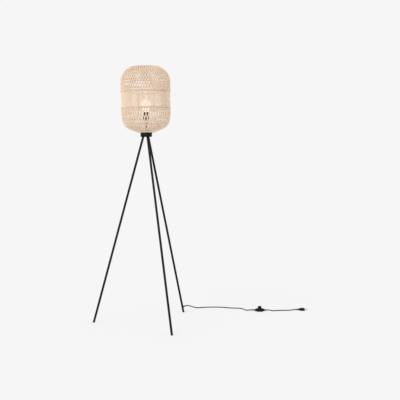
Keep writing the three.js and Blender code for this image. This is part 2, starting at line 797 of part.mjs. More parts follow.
function buildBulb() {
  const tipTop = tipBottom + tipHeight;
  const insulatorTop = insulatorBottom + insulatorHeight;
  const tip = [[0, tipBottom], [tipRadius / 2, tipBottom], [tipRadius, tipTop], [0, tipTop]];
  const insulator = [
    [0, insulatorBottom], [tipRadius + gap, insulatorBottom], [insulatorTopRadius, insulatorTop],
    [0, insulatorTop],
  ];
  const moduleBottom = insulatorTop + gap;
  place(lamp, 'bulb_tip', spun(tip, 20), nickel);
  place(lamp, 'bulb_insulator', spun(insulator, 24), blackPlastic);
  place(lamp, 'bulb_cap', bulbCap(), nickel);
  const module = disc(moduleRadius, moduleBottom, moduleBottom + moduleHeight, 24);
  place(lamp, 'bulb_led_module', module, aluminium);
  place(lamp, 'bulb_glass', bulbGlass(), opalGlass);
}

// The free cord, as a tube along its points
function cordTube(points) {
  const places = points.map((point) => new THREE.Vector3(...point));
  const curve = new THREE.CatmullRomCurve3(places, false, 'centripetal');
  return tubeAlong(curve, cableRadius, cordSides, Math.round(curve.getLength() / cordStep));
}

// The switch body's pointed form, smaller by a wall's thickness where asked
function pointedForm(shrink) {
  const steps = 8;
  const profile = [];
  for (let i = 0; i <= steps; i += 1) {
    const share = Math.cos((i / steps) * Math.PI);
    profile.push([Math.max(0, 1 - share * share), -share]);
  }
  return alongX(spun(profile, 20))
    .scale(switchTaper - shrink, switchHalfWidth - shrink, switchHalfHeight - shrink)
    .translate(0, 0, switchAxisHeight);
}

function switchSlab(bottom, top) {
  return block(2 * switchHalfLength, 4 * switchHalfWidth, bottom, top);
}

function reliefHoles() {
  const hole = disc(reliefRadius + gap, -2 * switchTaper, 2 * switchTaper, 20);
  return alongX(hole).translate(0, 0, switchAxisHeight);
}

function switchBase() {
  const seam = switchAxisHeight - gap / 2;
  const outer = common(pointedForm(0), switchSlab(0, seam));
  const hollow = common(pointedForm(switchWall), switchSlab(switchWall, 2 * collarTop));
  const shell = cut(outer, hollow);
  const bosses = switchScrewPlaces.map((at) => (
    disc(switchBossRadius, switchWall - gap, seam, 16).translate(at.x, at.y, 0)
  ));
  const sinks = switchScrewPlaces.map((at) => spun([
    [0, -overrun], [switchScrewHeadRadius + gap, -overrun],
    [switchScrewHeadRadius + gap, switchScrewRecess + switchScrewHeadHeight + gap],
    [switchScrewRadius + gap, switchScrewRecess + switchScrewHeadHeight + gap],
    [switchScrewRadius + gap, 2 * seam], [0, 2 * seam],
  ], 16).translate(at.x, at.y, 0));
  return cut(joined(shell, ...bosses), ...sinks, reliefHoles());
}

function switchCover() {
  const seam = switchAxisHeight + gap / 2;
  const whole = pointedForm(0);
  const outer = common(whole, switchSlab(seam, 2 * collarTop));
  const shell = cut(outer, pointedForm(switchWall));
  const bosses = switchScrewPlaces.map((at) => (
    common(disc(switchBossRadius, seam, switchBossTop, 16).translate(at.x, at.y, 0), whole)
  ));
  const collar = disc(collarRadius, buttonPocketTop - switchWall, collarTop, 24);
  const pocket = disc(buttonPocketRadius, -overrun, buttonPocketTop, 24);
  const bore = disc(buttonBoreRadius, 0, collarTop + overrun, 24);
  const holes = switchScrewPlaces.map((at) => (
    disc(switchScrewRadius + gap, 0, switchScrewTop + gap, 12).translate(at.x, at.y, 0)
  ));
  return cut(joined(shell, collar, ...bosses), pocket, bore, ...holes, reliefHoles());
}

function switchScrew(at) {
  return spun([
    [0, switchScrewRecess], [switchScrewHeadRadius, switchScrewRecess],
    [switchScrewHeadRadius, switchScrewRecess + switchScrewHeadHeight],
    [switchScrewRadius, switchScrewRecess + switchScrewHeadHeight],
    [switchScrewRadius, switchScrewTop], [0, switchScrewTop],
  ], 12).translate(at.x, at.y, 0);
}

function switchButton() {
  const bore = buttonRadius - buttonWall;
  const flangeTop = buttonSkirtBottom + buttonFlangeHeight;
  const roof = buttonTop - buttonTopWall;
  return spun([
    [bore, buttonSkirtBottom], [buttonFlangeRadius, buttonSkirtBottom], [buttonFlangeRadius, flangeTop],
    [buttonRadius, flangeTop], [buttonRadius, buttonTop - buttonWall], [buttonRadius - buttonWall, buttonTop],
    [0, buttonTop], [0, roof], [bore, roof], [bore, buttonSkirtBottom],
  ], 24);
}

class Helix extends THREE.Curve {
  constructor(radius, bottom, top, turns) {
    super();
    Object.assign(this, { radius, bottom, top, turns });
  }

  getPoint(share, target = new THREE.Vector3()) {
    const angle = share * this.turns * turn;
    const height = this.bottom + share * (this.top - this.bottom);
    return target.set(this.radius * Math.cos(angle), this.radius * Math.sin(angle), height);
  }
}

function switchSpring() {
  const bottom = blockTop + gap + springWire;
  const top = buttonTop - buttonTopWall - gap - springWire;
  return tubeAlong(new Helix(springRadius, bottom, top, springTurns), springWire, 4, 8 * springTurns);
}

function relief(side) {
  const start = switchHalfLength - reliefInBody;
  const sleeve = spun([
    [cableBore, start], [reliefRadius, start], [reliefRadius, switchHalfLength],
    [reliefTipRadius, start + reliefLength], [cableBore, start + reliefLength], [cableBore, start],
  ], 20);
  return alongX(sleeve).rotateZ(side > 0 ? 0 : Math.PI).translate(0, 0, switchAxisHeight);
}

function leadInSwitch(side) {
  const start = blockLength / 2 + gap + contactLength + gap;
  const lead = disc(cableRadius, start, switchHalfLength - reliefInBody + reliefLength, 12);
  return alongX(lead).rotateZ(side > 0 ? 0 : Math.PI).translate(0, 0, switchAxisHeight);
}

function contact(side) {
  const middle = blockLength / 2 + gap + contactLength / 2;
  return block(contactLength, contactWidth, switchWall + gap, contactTop).translate(side * middle, 0, 0);
}

function buildSwitch() {
  const group = new THREE.Group();
  group.position.copy(switchPlace);
  group.rotation.z = switchHeading;
  lamp.add(group);
  place(group, 'switch_base', switchBase(), blackPlastic);
  place(group, 'switch_cover', switchCover(), blackPlastic);
  place(group, 'switch_button', switchButton(), blackPlastic);
  place(group, 'switch_spring', switchSpring(), zincSteel);
  place(group, 'switch_block', block(blockLength, blockWidth, switchWall + gap, blockTop), blackPlastic);
  for (const [name, side] of [['in', -1], ['out', 1]]) {
    place(group, `switch_contact_${name}`, contact(side), brass);
    place(group, `switch_relief_${name}`, relief(side), blackRubber);
    place(group, `switch_lead_${name}`, leadInSwitch(side), blackPlastic);
  }
  switchScrewPlaces.forEach((at, i) => place(group, `switch_screw_${i + 1}`, switchScrew(at), zincSteel));
}

// The moulded plug: a flat body that narrows to the rear, with its strain relief in one piece
function plugBody() {
  const front = plugLength / 2 - plugBevel;
  const rear = -plugLength / 2;
  const wide = plugHalfWidth - plugBevel;
  const narrow = plugRearHalfWidth - plugBevel;
  const shape = new THREE.Shape();
  shape.moveTo(rear, -narrow);
  shape.bezierCurveTo(rear / 3, -narrow, rear / 2, -wide, 0, -wide);
  shape.lineTo(front - plugCornerRadius, -wide);
  shape.quadraticCurveTo(front, -wide, front, plugCornerRadius - wide);
  shape.lineTo(front, wide - plugCornerRadius);
  shape.quadraticCurveTo(front, wide, front - plugCornerRadius, wide);
  shape.lineTo(0, wide);
  shape.bezierCurveTo(rear / 2, wide, rear / 3, narrow, rear, narrow);
  const body = new THREE.ExtrudeGeometry(shape, {
    depth: plugThickness - 2 * plugBevel, bevelThickness: plugBevel, bevelSize: plugBevel,
    bevelSegments: 2, curveSegments: 6,
  }).translate(0, 0, plugBevel);
  const sleeve = alongX(spun([
    [0, rear - plugReliefLength], [plugReliefTipRadius, rear - plugReliefLength],
    [plugReliefRadius, rear], [plugReliefRadius, rear + plugReliefRadius], [0, rear + plugReliefRadius],
  ], 20)).translate(0, 0, plugThickness / 2);
  return cut(joined(body, sleeve), pinHole(1), pinHole(-1));
}

function pinHole(side) {
  const front = plugLength / 2;
  const hole = disc(pinRadius + gap, front - pinDepth - gap, front + overrun, 16);
  return alongX(hole).translate(0, (side * pinSpacing) / 2, plugThickness / 2);
}

function plugPin(side) {
  const front = plugLength / 2;
  const pin = spun([
    [0, front - pinDepth], [pinRadius, front - pinDepth], [pinRadius, front + pinReach - pinRadius],
    [pinTipRadius, front + pinReach], [0, front + pinReach],
  ], 16);
  return alongX(pin).translate(0, (side * pinSpacing) / 2, plugThickness / 2);
}

function buildPlug() {
  const group = new THREE.Group();
  const tipReach = plugLength / 2 + pinReach;
  group.position.set(tipReach * -Math.cos(plugHeading), tipReach * -Math.sin(plugHeading), 0).add(plugTip);
  group.rotation.z = plugHeading;
  lamp.add(group);
  place(group, 'plug_body', plugBody(), blackPlastic);
  place(group, 'plug_pin_1', plugPin(1), nickel);
  place(group, 'plug_pin_2', plugPin(-1), nickel);
}

buildLegs();
buildHub();
buildWires();
buildShade();
buildHolder();
buildBulb();
place(lamp, 'cord_leg_to_switch', cordTube(cordToSwitchPoints), blackPlastic);
buildSwitch();
place(lamp, 'cord_switch_to_plug', cordTube(cordToPlugPoints), blackPlastic);
buildPlug();

export default object;
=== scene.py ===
# %% [markdown]
# A rattan floor lamp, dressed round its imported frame. The frame holds the lamp's sizes and joints, and this
# lesson makes what the eye meets: canes, binding, steel, plastic, glass and cord. Lengths are in metres,
# +Z is up, and each piece takes its place from the frame's own boxes.

# %% Load the frame
import json
import math

import bmesh
import bpy
import numpy as np
from mathutils import Matrix, Vector
from mathutils.geometry import convex_hull_2d

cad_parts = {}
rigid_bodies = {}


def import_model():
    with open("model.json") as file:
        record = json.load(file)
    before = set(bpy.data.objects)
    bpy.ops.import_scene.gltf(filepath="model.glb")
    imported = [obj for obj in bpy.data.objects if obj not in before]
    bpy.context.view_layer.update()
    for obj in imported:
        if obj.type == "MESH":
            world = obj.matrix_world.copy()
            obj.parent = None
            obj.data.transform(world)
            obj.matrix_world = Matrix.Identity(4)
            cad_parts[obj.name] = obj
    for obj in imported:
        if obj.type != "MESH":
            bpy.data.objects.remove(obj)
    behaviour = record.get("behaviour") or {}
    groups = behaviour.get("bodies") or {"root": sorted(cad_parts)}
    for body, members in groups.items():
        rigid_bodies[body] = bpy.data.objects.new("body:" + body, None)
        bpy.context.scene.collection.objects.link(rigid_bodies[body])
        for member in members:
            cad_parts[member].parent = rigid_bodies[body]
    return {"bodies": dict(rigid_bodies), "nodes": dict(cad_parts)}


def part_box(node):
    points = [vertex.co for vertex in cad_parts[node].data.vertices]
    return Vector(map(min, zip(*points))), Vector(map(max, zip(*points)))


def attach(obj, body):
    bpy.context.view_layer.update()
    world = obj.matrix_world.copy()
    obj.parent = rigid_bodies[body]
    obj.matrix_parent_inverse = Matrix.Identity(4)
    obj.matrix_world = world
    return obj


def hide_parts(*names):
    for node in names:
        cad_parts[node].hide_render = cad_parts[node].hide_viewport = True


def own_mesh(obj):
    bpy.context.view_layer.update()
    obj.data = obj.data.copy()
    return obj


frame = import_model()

MM = 0.001
TURN = math.tau
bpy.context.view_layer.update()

# %% [markdown]
# The camera comes first, because everything is seen through it. The picture was taken from a little over four
# metres away and one metre up, with the lamp left of the middle. A camera's turn is easiest to read as three
# turns one after another: a heading round Z, a pitch, and a small roll of the picture.

# %% Camera
def middle(node):
    low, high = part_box(node)
    return (low + high) / 2


def linked(name, data):
    """A new object in the scene."""
    made = bpy.data.objects.new(name, data)
    bpy.context.scene.collection.objects.link(made)
    return made


AXIS = middle("stem_tube")
PICTURE_SIDE = 400
FOCAL_PIXELS = 742.8
CAMERA_AWAY = 4.3478
CAMERA_HEIGHT = 1.018
CAMERA_ROUND = math.radians(9.12)
CAMERA_PAN = math.radians(4.05)
CAMERA_PITCH = math.radians(-3.88)
CAMERA_ROLL = math.radians(-0.79)
SENSOR = 36

lens = bpy.data.cameras.new("camera")
lens.sensor_width = SENSOR
lens.lens = FOCAL_PIXELS / PICTURE_SIDE * SENSOR
camera = linked("camera", lens)
bpy.context.scene.camera = camera
heading = Matrix.Rotation(CAMERA_ROUND - CAMERA_PAN, 4, "Z")
pitch = Matrix.Rotation(math.pi / 2 + CAMERA_PITCH, 4, "X")
stand_point = Vector((AXIS.x + CAMERA_AWAY * math.sin(CAMERA_ROUND),
                      AXIS.y - CAMERA_AWAY * math.cos(CAMERA_ROUND), CAMERA_HEIGHT))
camera.matrix_world = Matrix.Translation(stand_point) @ heading @ pitch @ Matrix.Rotation(CAMERA_ROLL, 4, "Z")
print("camera at", [round(x, 3) for x in stand_point], "lens", round(lens.lens, 2))

# %% [markdown]
# A material here is built from nodes by a small helper, which adds one node and feeds its sockets: a value
# is set, and a socket is linked. Effects that several finishes share become node groups with named inputs,
# so that steel, plastic and rubber use one grain, each with its own numbers.

# %% Helpers for shader nodes
COLOUR, NUMBER = "NodeSocketColor", "NodeSocketFloat"


def feed(tree, socket, value):
    if isinstance(value, bpy.types.NodeSocket):
        tree.links.new(value, socket)
    else:
        socket.default_value = value


def add(tree, kind, inputs=None, **settings):
    made = tree.nodes.new(kind)
    for name, value in settings.items():
        setattr(made, name, value)
    for name, value in (inputs or {}).items():
        feed(tree, made.inputs[name], value)
    return made


def arithmetic(tree, operation, first, second=0.0):
    return add(tree, "ShaderNodeMath", {0: first, 1: second}, operation=operation).outputs[0]


def blend_colours(tree, share, first, second):
    made = add(tree, "ShaderNodeMix", data_type="RGBA")
    sockets = {socket.name: socket for socket in made.inputs if socket.enabled}
    for name, value in (("Factor", share), ("A", first), ("B", second)):
        feed(tree, sockets[name], value)
    return next(socket for socket in made.outputs if socket.enabled)


def new_group(name, inputs, outputs):
    """An empty node group with named sockets: its tree, its inputs from within, and its output node."""
    tree = bpy.data.node_groups.new(name, "ShaderNodeTree")
    for label, (kind, value) in inputs.items():
        tree.interface.new_socket(name=label, in_out="INPUT", socket_type=kind).default_value = value
    for label, kind in outputs.items():
        tree.interface.new_socket(name=label, in_out="OUTPUT", socket_type=kind)
    return tree, tree.nodes.new("NodeGroupInput").outputs, tree.nodes.new("NodeGroupOutput")


def surfaced(name, group, values, bump, depth):
    """A material whose colour, roughness and relief come from a node group with the given values."""
    material = bpy.data.materials.new(name)
    material.use_nodes = True
    tree = material.node_tree
    inputs = tree.nodes["Principled BSDF"].inputs
    look = add(tree, "ShaderNodeGroup", values, node_tree=group).outputs
    raised = add(tree, "ShaderNodeBump", {"Height": look["Height"], "Strength": bump, "Distance": depth})
    for label, socket in (("Base Color", look["Colour"]), ("Roughness", look["Roughness"]),
                          ("Normal", raised.outputs["Normal"])):
        tree.links.new(socket, inputs[label])
    return material, inputs, look

# %% [markdown]
# Nothing made in a factory is perfectly even: powder coat has a fine orange-peel grain, moulded plastic
# a faint texture, and both catch the light a little differently from place to place. One group gives all
# of that from two noises on object coordinates, a coarse one for tone and a fine one for the grain.

# %% Node group: even grain
def grain_group():
    tree, given, out = new_group("Even grain", {
        "Colour": (COLOUR, (0.5, 0.5, 0.5, 1)), "Light colour": (COLOUR, (0.6, 0.6, 0.6, 1)),
        "Patch scale": (NUMBER, 30.0), "Grain scale": (NUMBER, 900.0),
        "Roughness": (NUMBER, 0.5), "Roughness spread": (NUMBER, 0.1),
    }, {"Colour": COLOUR, "Roughness": NUMBER, "Height": NUMBER})
    place = tree.nodes.new("ShaderNodeTexCoord").outputs["Object"]
    patches = add(tree, "ShaderNodeTexNoise", {"Vector": place, "Scale": given["Patch scale"], "Detail": 3.0})
    grain = add(tree, "ShaderNodeTexNoise", {"Vector": place, "Scale": given["Grain scale"], "Detail": 2.0})
    mixed = blend_colours(tree, patches.outputs["Fac"], given["Colour"], given["Light colour"])
    swing = arithmetic(tree, "SUBTRACT", patches.outputs["Fac"], 0.5)
    shift = arithmetic(tree, "MULTIPLY", swing, given["Roughness spread"])
    rough = arithmetic(tree, "ADD", shift, given["Roughness"])
    for label, value in (("Colour", mixed), ("Roughness", rough), ("Height", grain.outputs["Fac"])):
        tree.links.new(value, out.inputs[label])
    return tree


GRAIN = grain_group()
GRAIN_DEPTH = 0.05 * MM


def grained(name, colour, light, roughness, spread=0.1, patch=30.0, grain=900.0, bump=0.1, **shader):
    """A finish made of the shared grain, with the shader's own constants in shader."""
    values = {"Colour": (*colour, 1), "Light colour": (*light, 1), "Patch scale": patch, "Grain scale": grain,
              "Roughness": roughness, "Roughness spread": spread}
    material, inputs, _ = surfaced(name, GRAIN, values, bump, GRAIN_DEPTH)
    for label, value in shader.items():
        inputs[label.replace("_", " ")].default_value = value
    return material


powder_coat = grained("powder_coated_steel", (0.0075, 0.0067, 0.0063), (0.0125, 0.0112, 0.0107), 0.42, 0.12,
                      grain=1400.0, bump=0.25, Specular_IOR_Level=0.12)
black_plastic = grained("moulded_black_plastic", (0.006, 0.006, 0.0063), (0.0095, 0.0095, 0.01), 0.42, 0.14,
                        grain=2200.0, bump=0.12, Specular_IOR_Level=0.1)
black_rubber = grained("black_rubber", (0.009, 0.009, 0.0095), (0.015, 0.015, 0.0155), 0.72, 0.1,
                       grain=1600.0, bump=0.2, Specular_IOR_Level=0.1)
cord_jacket = grained("black_cord_jacket", (0.006, 0.006, 0.0063), (0.0095, 0.0095, 0.01), 0.5, 0.12,
                      patch=45.0, grain=1200.0, bump=0.12, Specular_IOR_Level=0.06)
zinc = grained("zinc_plated_steel", (0.48, 0.49, 0.5), (0.6, 0.6, 0.6), 0.32, 0.2, Metallic=1.0)
brass = grained("brass", (0.6, 0.42, 0.16), (0.7, 0.5, 0.22), 0.28, 0.16, Metallic=1.0)
nickel = grained("nickel_plate", (0.55, 0.53, 0.49), (0.66, 0.64, 0.6), 0.24, 0.14, Metallic=1.0)
aluminium = grained("cast_aluminium", (0.6, 0.61, 0.62), (0.7, 0.71, 0.72), 0.42, 0.12, Metallic=1.0)
opal_glass = grained("opal_glass", (0.85, 0.84, 0.82), (0.89, 0.88, 0.86), 0.22, 0.06, patch=25.0, bump=0.04,
                     Emission_Color=(1.0, 0.97, 0.94, 1), Emission_Strength=0.6)
brown_wire = grained("brown_wire", (0.13, 0.05, 0.02), (0.17, 0.07, 0.03), 0.45)
blue_wire = grained("blue_wire", (0.03, 0.11, 0.42), (0.05, 0.15, 0.5), 0.45)
print("materials so far, with the frame's own:", len(bpy.data.materials))

# %% [markdown]
# The cords are fixed lengths of round jacket that come down from the leg and lie on the floor, so their
# routes are settled before anything else is built. A curve object with a round bevel is the natural tool:
# it keeps its own centre line. The points are those of the lamp's plan, measured from the lamp's axis.

# %% Cords
CORD_DIAMETER = 6 * MM
CORD_TO_SWITCH = [
    (0.16727, 0.28972, 0.036), (0.17495, 0.30302, 0.036), (0.18245, 0.31601, 0.036), (0.189, 0.3272, 0.0349),
    (0.1965, 0.3394, 0.0316), (0.205, 0.3526, 0.0262), (0.2155, 0.3674, 0.0192), (0.228, 0.3828, 0.0122),
    (0.243, 0.3973, 0.0066), (0.2595, 0.41, 0.0039), (0.279, 0.4195, 0.0032), (0.303, 0.4265, 0.0032),
    (0.335, 0.4305, 0.0032), (0.372, 0.4315, 0.0032), (0.406, 0.427, 0.0032), (0.436, 0.4155, 0.0032),
    (0.468, 0.406, 0.0032), (0.503, 0.402, 0.0032), (0.53, 0.39, 0.0032), (0.547, 0.367, 0.0032),
    (0.56, 0.344, 0.0036), (0.573, 0.3306, 0.0066), (0.5867, 0.326, 0.009), (0.5947, 0.326, 0.009),
]
CORD_TO_PLUG = [
    (0.6973, 0.326, 0.009), (0.7053, 0.326, 0.009), (0.718, 0.3276, 0.0058), (0.7315, 0.3309, 0.0036),
    (0.748, 0.3362, 0.0032), (0.775, 0.3432, 0.0032), (0.803, 0.347, 0.0032), (0.83, 0.3499, 0.0032),
    (0.848, 0.3524, 0.0046), (0.86346, 0.35456, 0.007), (0.87138, 0.35567, 0.007),
]


def lay_cord(name, points, node):
    curve = bpy.data.curves.new(name, "CURVE")
    curve.dimensions = "3D"
    curve.bevel_depth = CORD_DIAMETER / 2
    curve.bevel_resolution = 6
    curve.resolution_u = 8
    curve.use_fill_caps = True
    spline = curve.splines.new("BEZIER")
    spline.bezier_points.add(len(points) - 1)
    for knot, point in zip(spline.bezier_points, points):
        knot.co = Vector(point) + Vector((AXIS.x, AXIS.y, 0))
        knot.handle_left_type = knot.handle_right_type = "AUTO"
    curve.materials.append(cord_jacket)
    flex = linked(name, curve)
    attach(flex, "stand")
    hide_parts(node)
    print(name, "is", round(spline.calc_length(), 4), "m long")
    return flex


flex_to_switch = lay_cord("flex_leg_to_switch", CORD_TO_SWITCH, "cord_leg_to_switch")
flex_to_plug = lay_cord("flex_switch_to_plug", CORD_TO_PLUG, "cord_switch_to_plug")

# %% [markdown]
# Every hard piece is finished in the same way: doubles merged, faces turned outwards, edges softened by a
# small bevel where two faces really meet at an angle, and smooth shading everywhere else. A helper does this
# once, hangs the piece on its body, gives it the slot of its finish, and hides the piece of the frame it
# stands for. Round pieces are turned as on a lathe, and booleans drill and trim them.

# %% Helpers for solid pieces
TOUCHING = 0.001 * MM
TOUCHING_IN_FRAME = 0.01 * MM
BEVELLED_ANGLE = math.radians(30)
SHARP_ANGLE = math.radians(35)
FLAT_ANGLE = math.radians(0.5)
ALONG_X = Matrix.Rotation(math.pi / 2, 4, "Y")


def hung(mesh, name, material, node=None, body="stand"):
    """The mesh as a named piece that rides on a body and stands for a node of the frame, if one is given."""
    piece = linked(name, mesh)
    mesh.materials.append(material)
    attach(piece, body)
    if node:
        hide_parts(node)
    return piece


def cleaned(bm):
    """Merges points that touch and turns the faces outwards."""
    bmesh.ops.remove_doubles(bm, verts=bm.verts, dist=TOUCHING)
    bmesh.ops.recalc_face_normals(bm, faces=bm.faces)
    return bm


def bevelled(bm, edges, width, segments):
    bmesh.ops.bevel(bm, geom=edges, offset=width, offset_type="OFFSET", affect="EDGES", segments=segments,
                    profile=0.5, material=-1, clamp_overlap=True)


def meshed(name, bm):
    mesh = bpy.data.meshes.new(name)
    bm.to_mesh(mesh)
    bm.free()
    return mesh


def finished(name, bm, material, node, soft, body="stand"):
    """A solid piece with its real edges softened by a width, and none softened where that is zero."""
    cleaned(bm)
    edges = [e for e in bm.edges if len(e.link_faces) == 2 and e.calc_face_angle(0) > BEVELLED_ANGLE]
    if soft and edges:
        bevelled(bm, edges, soft, 2)
    mesh = meshed(name, bm)
    mesh.shade_smooth()
    mesh.set_sharp_from_angle(angle=SHARP_ANGLE)
    print(f"{name}: {len(mesh.polygons)} faces")
    return hung(mesh, name, material, node, body)


def spun(profile, steps=64, shut=True):
    """A solid of revolution round Z from (radius, height) corners, or a skin where it isn't to be shut."""
    bm = bmesh.new()
    corners = [bm.verts.new((radius, 0, height)) for radius, height in profile]
    edges = [bm.edges.new(pair) for pair in zip(corners, corners[1:])]
    if shut and (profile[0][0] > 0 or profile[-1][0] > 0):
        edges.append(bm.edges.new((corners[-1], corners[0])))
    bmesh.ops.spin(bm, geom=corners + edges, cent=(0, 0, 0), axis=(0, 0, 1), angle=TURN, steps=steps,
                   use_merge=True)
    return cleaned(bm)


def cylinder(radius, bottom, top, steps=48):
    return spun([(0, bottom), (radius, bottom), (radius, top), (0, top)], steps)


def tube(radius, wall, bottom, top):
    return spun([(radius - wall, bottom), (radius, bottom), (radius, top), (radius - wall, top)])


def round_size(node):
    """The bottom, the top and the radius of a round upright piece of the frame."""
    low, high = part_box(node)
    return low.z, high.z, (high.x - low.x) / 2


def moved(bm, matrix):
    bmesh.ops.transform(bm, matrix=matrix, verts=bm.verts)
    return bm


def at_axis(bm):
    return moved(bm, Matrix.Translation((AXIS.x, AXIS.y, 0)))


def along(direction, place):
    """A matrix that lays +Z along a direction and starts at a place."""
    matrix = direction.to_track_quat("Z", "Y").to_matrix().to_4x4()
    matrix.translation = place
    return matrix


def combined(bm, tool, operation="DIFFERENCE"):
    """A boolean of two solids, by the modifier, as a new bmesh."""
    holders = []
    for solid in (bm, tool):
        bmesh.ops.triangulate(solid, faces=[f for f in solid.faces if len(f.verts) > 4])
        holders.append(linked("work", meshed("work", solid)))
    cut = holders[0].modifiers.new("cut", "BOOLEAN")
    cut.operation, cut.solver, cut.object = operation, "EXACT", holders[1]
    bpy.context.view_layer.update()
    result = bpy.data.meshes.new_from_object(holders[0].evaluated_get(bpy.context.evaluated_depsgraph_get()))
    made = bmesh.new()
    made.from_mesh(result)
    for holder in holders:
        bpy.data.meshes.remove(holder.data)
    bpy.data.meshes.remove(result)
    bmesh.ops.remove_doubles(made, verts=made.verts, dist=TOUCHING)
    bmesh.ops.dissolve_limit(made, angle_limit=FLAT_ANGLE, verts=made.verts, edges=made.edges)
    return made


def sliced(bm, place, normal):
    """Cuts away what lies on the far side of a plane and closes the cut."""
    bmesh.ops.bisect_plane(bm, geom=bm.verts[:] + bm.edges[:] + bm.faces[:], plane_co=place, plane_no=normal,
                           clear_outer=True)
    bmesh.ops.holes_fill(bm, edges=[e for e in bm.edges if e.is_boundary])
    return bm


def from_frame(node):
    """A merged copy of one of the frame's own solids."""
    bm = bmesh.new()
    bm.from_mesh(frame["nodes"][node].data)
    bmesh.ops.remove_doubles(bm, verts=bm.verts, dist=TOUCHING_IN_FRAME)
    bmesh.ops.dissolve_limit(bm, angle_limit=FLAT_ANGLE, verts=bm.verts, edges=bm.edges)
    return bm


# %% [markdown]
# The shade is a lantern woven from round peeled canes. Its outline is read from the frame's wall:
# the outer points of that wall form a convex chain, so a flat convex hull of radius against height finds
# them. A smooth line through the chain then gives evenly spaced stations for every cane.

# %% The shade's outline
def even_line(points, count, fineness=12):
    """Evenly spaced points along a smooth line through the given ones, and the line's length."""
    points = np.array(points, float)
    run = np.concatenate([[0], np.cumsum(np.linalg.norm(np.diff(points, axis=0), axis=1))])
    slope = np.gradient(points, run, axis=0)
    fine = np.linspace(0, run[-1], fineness * count)
    i = np.clip(np.searchsorted(run, fine, "right") - 1, 0, len(run) - 2)
    span = (run[i + 1] - run[i])[:, None]
    s = ((fine - run[i]) / span[:, 0])[:, None]
    line = ((2 * s**3 - 3 * s**2 + 1) * points[i] + (s**3 - 2 * s**2 + s) * span * slope[i]
            + (3 * s**2 - 2 * s**3) * points[i + 1] + (s**3 - s**2) * span * slope[i + 1])
    length = np.concatenate([[0], np.cumsum(np.linalg.norm(np.diff(line, axis=0), axis=1))])
    even = np.linspace(0, length[-1], count)
    return np.stack([np.interp(even, length, line[:, k]) for k in range(2)], axis=1), length[-1]


STATIONS = 128
flat = sorted({(round(math.hypot(v.co.x - AXIS.x, v.co.y - AXIS.y), 5), round(v.co.z, 5))
               for v in frame["nodes"]["woven_wall"].data.vertices})
hull = [flat[i] for i in convex_hull_2d([Vector(p) for p in flat])]
lowest = min(range(len(hull)), key=lambda i: hull[i][1])
hull = hull[lowest:] + hull[:lowest]
chain = hull[:max(range(len(hull)), key=lambda i: hull[i][1]) + 1]
outline, outline_length = even_line(chain, STATIONS)
tangent = np.gradient(outline, axis=0)
tangent /= np.linalg.norm(tangent, axis=1)[:, None]
outward = np.stack([tangent[:, 1], -tangent[:, 0]], axis=1)
radius_at, height_at = outline[:, 0], outline[:, 1]
SHADE_RADIUS = radius_at.max()
print("outline", len(chain), "points,", round(outline_length, 4), "m long, widest", round(SHADE_RADIUS, 4))

# %% [markdown]
# The pattern has 55 repeats, each of four canes. In the plain middle band all canes stand upright, evenly
# spaced. Above and below it they pair up and the pairs lean two ways, so that they cross in rows, over at
# one row and under at the next. Only just above the band the left-leaning pairs stay on top for the first
# rows. A number that counts rows, zero in the band and a half at the first crossing, drives both the angle
# and the over-and-under of every cane.

# %% The weave's plan
REPEATS = 55
REPEAT_ANGLE = TURN / REPEATS
CANE_DIAMETER = 2.9 * MM
CANE_INSET = 2.95 * MM
WEAVE_DEPTH = 1.8 * MM
FACING = math.radians(-80.88)
HOOP_HEIGHTS = [middle("lower_hoop").z, middle("upper_hoop").z]
ROWS_UP = [1.3848, 1.4053, 1.4247, 1.440, 1.456, 1.4657, 1.479, 1.494]
ROWS_DOWN = [1.225, 1.197, 1.168, 1.150, 1.131, 1.120]
FIRST_ROW = 0.5
LEAN_REPEATS = 0.5
LEAN_RUN = 46 * MM
PAIRING_RUN = 42 * MM
LAST_WOVEN_ROWS = (-3.5, 5.5)
LEFT_ON_TOP_ROWS = 3.5
LEFT_ON_TOP_RUN = 0.4
CROSSING_SNAP = 3


def smooth_step(x):
    x = np.clip(x, 0, 1)
    return x * x * (3 - 2 * x)


def eased(values, reach=4):
    """A moving average that keeps the ends."""
    window = np.hanning(2 * reach + 3)[1:-1]
    padded = np.concatenate([np.full(reach, values[0]), values, np.full(reach, values[-1])])
    padded[:reach] -= (values[1] - values[0]) * np.arange(reach, 0, -1)
    padded[-reach:] += (values[-1] - values[-2]) * np.arange(1, reach + 1)
    return np.convolve(padded, window / window.sum(), "valid")


row_knots = [(z, -FIRST_ROW - i) for i, z in enumerate(ROWS_DOWN)][::-1]
row_knots += [(z, 0.0) for z in HOOP_HEIGHTS]
row_knots += [(z, FIRST_ROW + i) for i, z in enumerate(ROWS_UP)]
row_count = eased(np.interp(height_at, [z for z, _ in row_knots], [row for _, row in row_knots]))
above_band = height_at - HOOP_HEIGHTS[1]
below_band = HOOP_HEIGHTS[0] - height_at
lean = -LEAN_REPEATS * (smooth_step(above_band / LEAN_RUN) + smooth_step(below_band / LEAN_RUN))
pairing = smooth_step(np.maximum(above_band, below_band) / PAIRING_RUN)
woven_row = np.clip(row_count, *LAST_WOVEN_ROWS)
over_under = np.tanh(CROSSING_SNAP * np.cos(math.pi * (woven_row - FIRST_ROW))) / math.tanh(CROSSING_SNAP)
left_on_top = (row_count > 0) & (row_count < LEFT_ON_TOP_ROWS)
over_under = np.where(left_on_top, -smooth_step(row_count / LEFT_ON_TOP_RUN), over_under)
START_ANGLE = FACING + LEAN_REPEATS * REPEAT_ANGLE
print("rows from", round(row_count.min(), 2), "to", round(row_count.max(), 2))

# %% [markdown]
# Each cane is one spline of a curve object, with a point at every station and its own thickness there,
# because canes are thinned where the shade closes on the hub. Seeded waves shift each pair and each cane
# by parts of a millimetre, as handwork does. The curve becomes a mesh, which gives every cane a UV that
# runs along it, and a number per cane is stored for its tint.

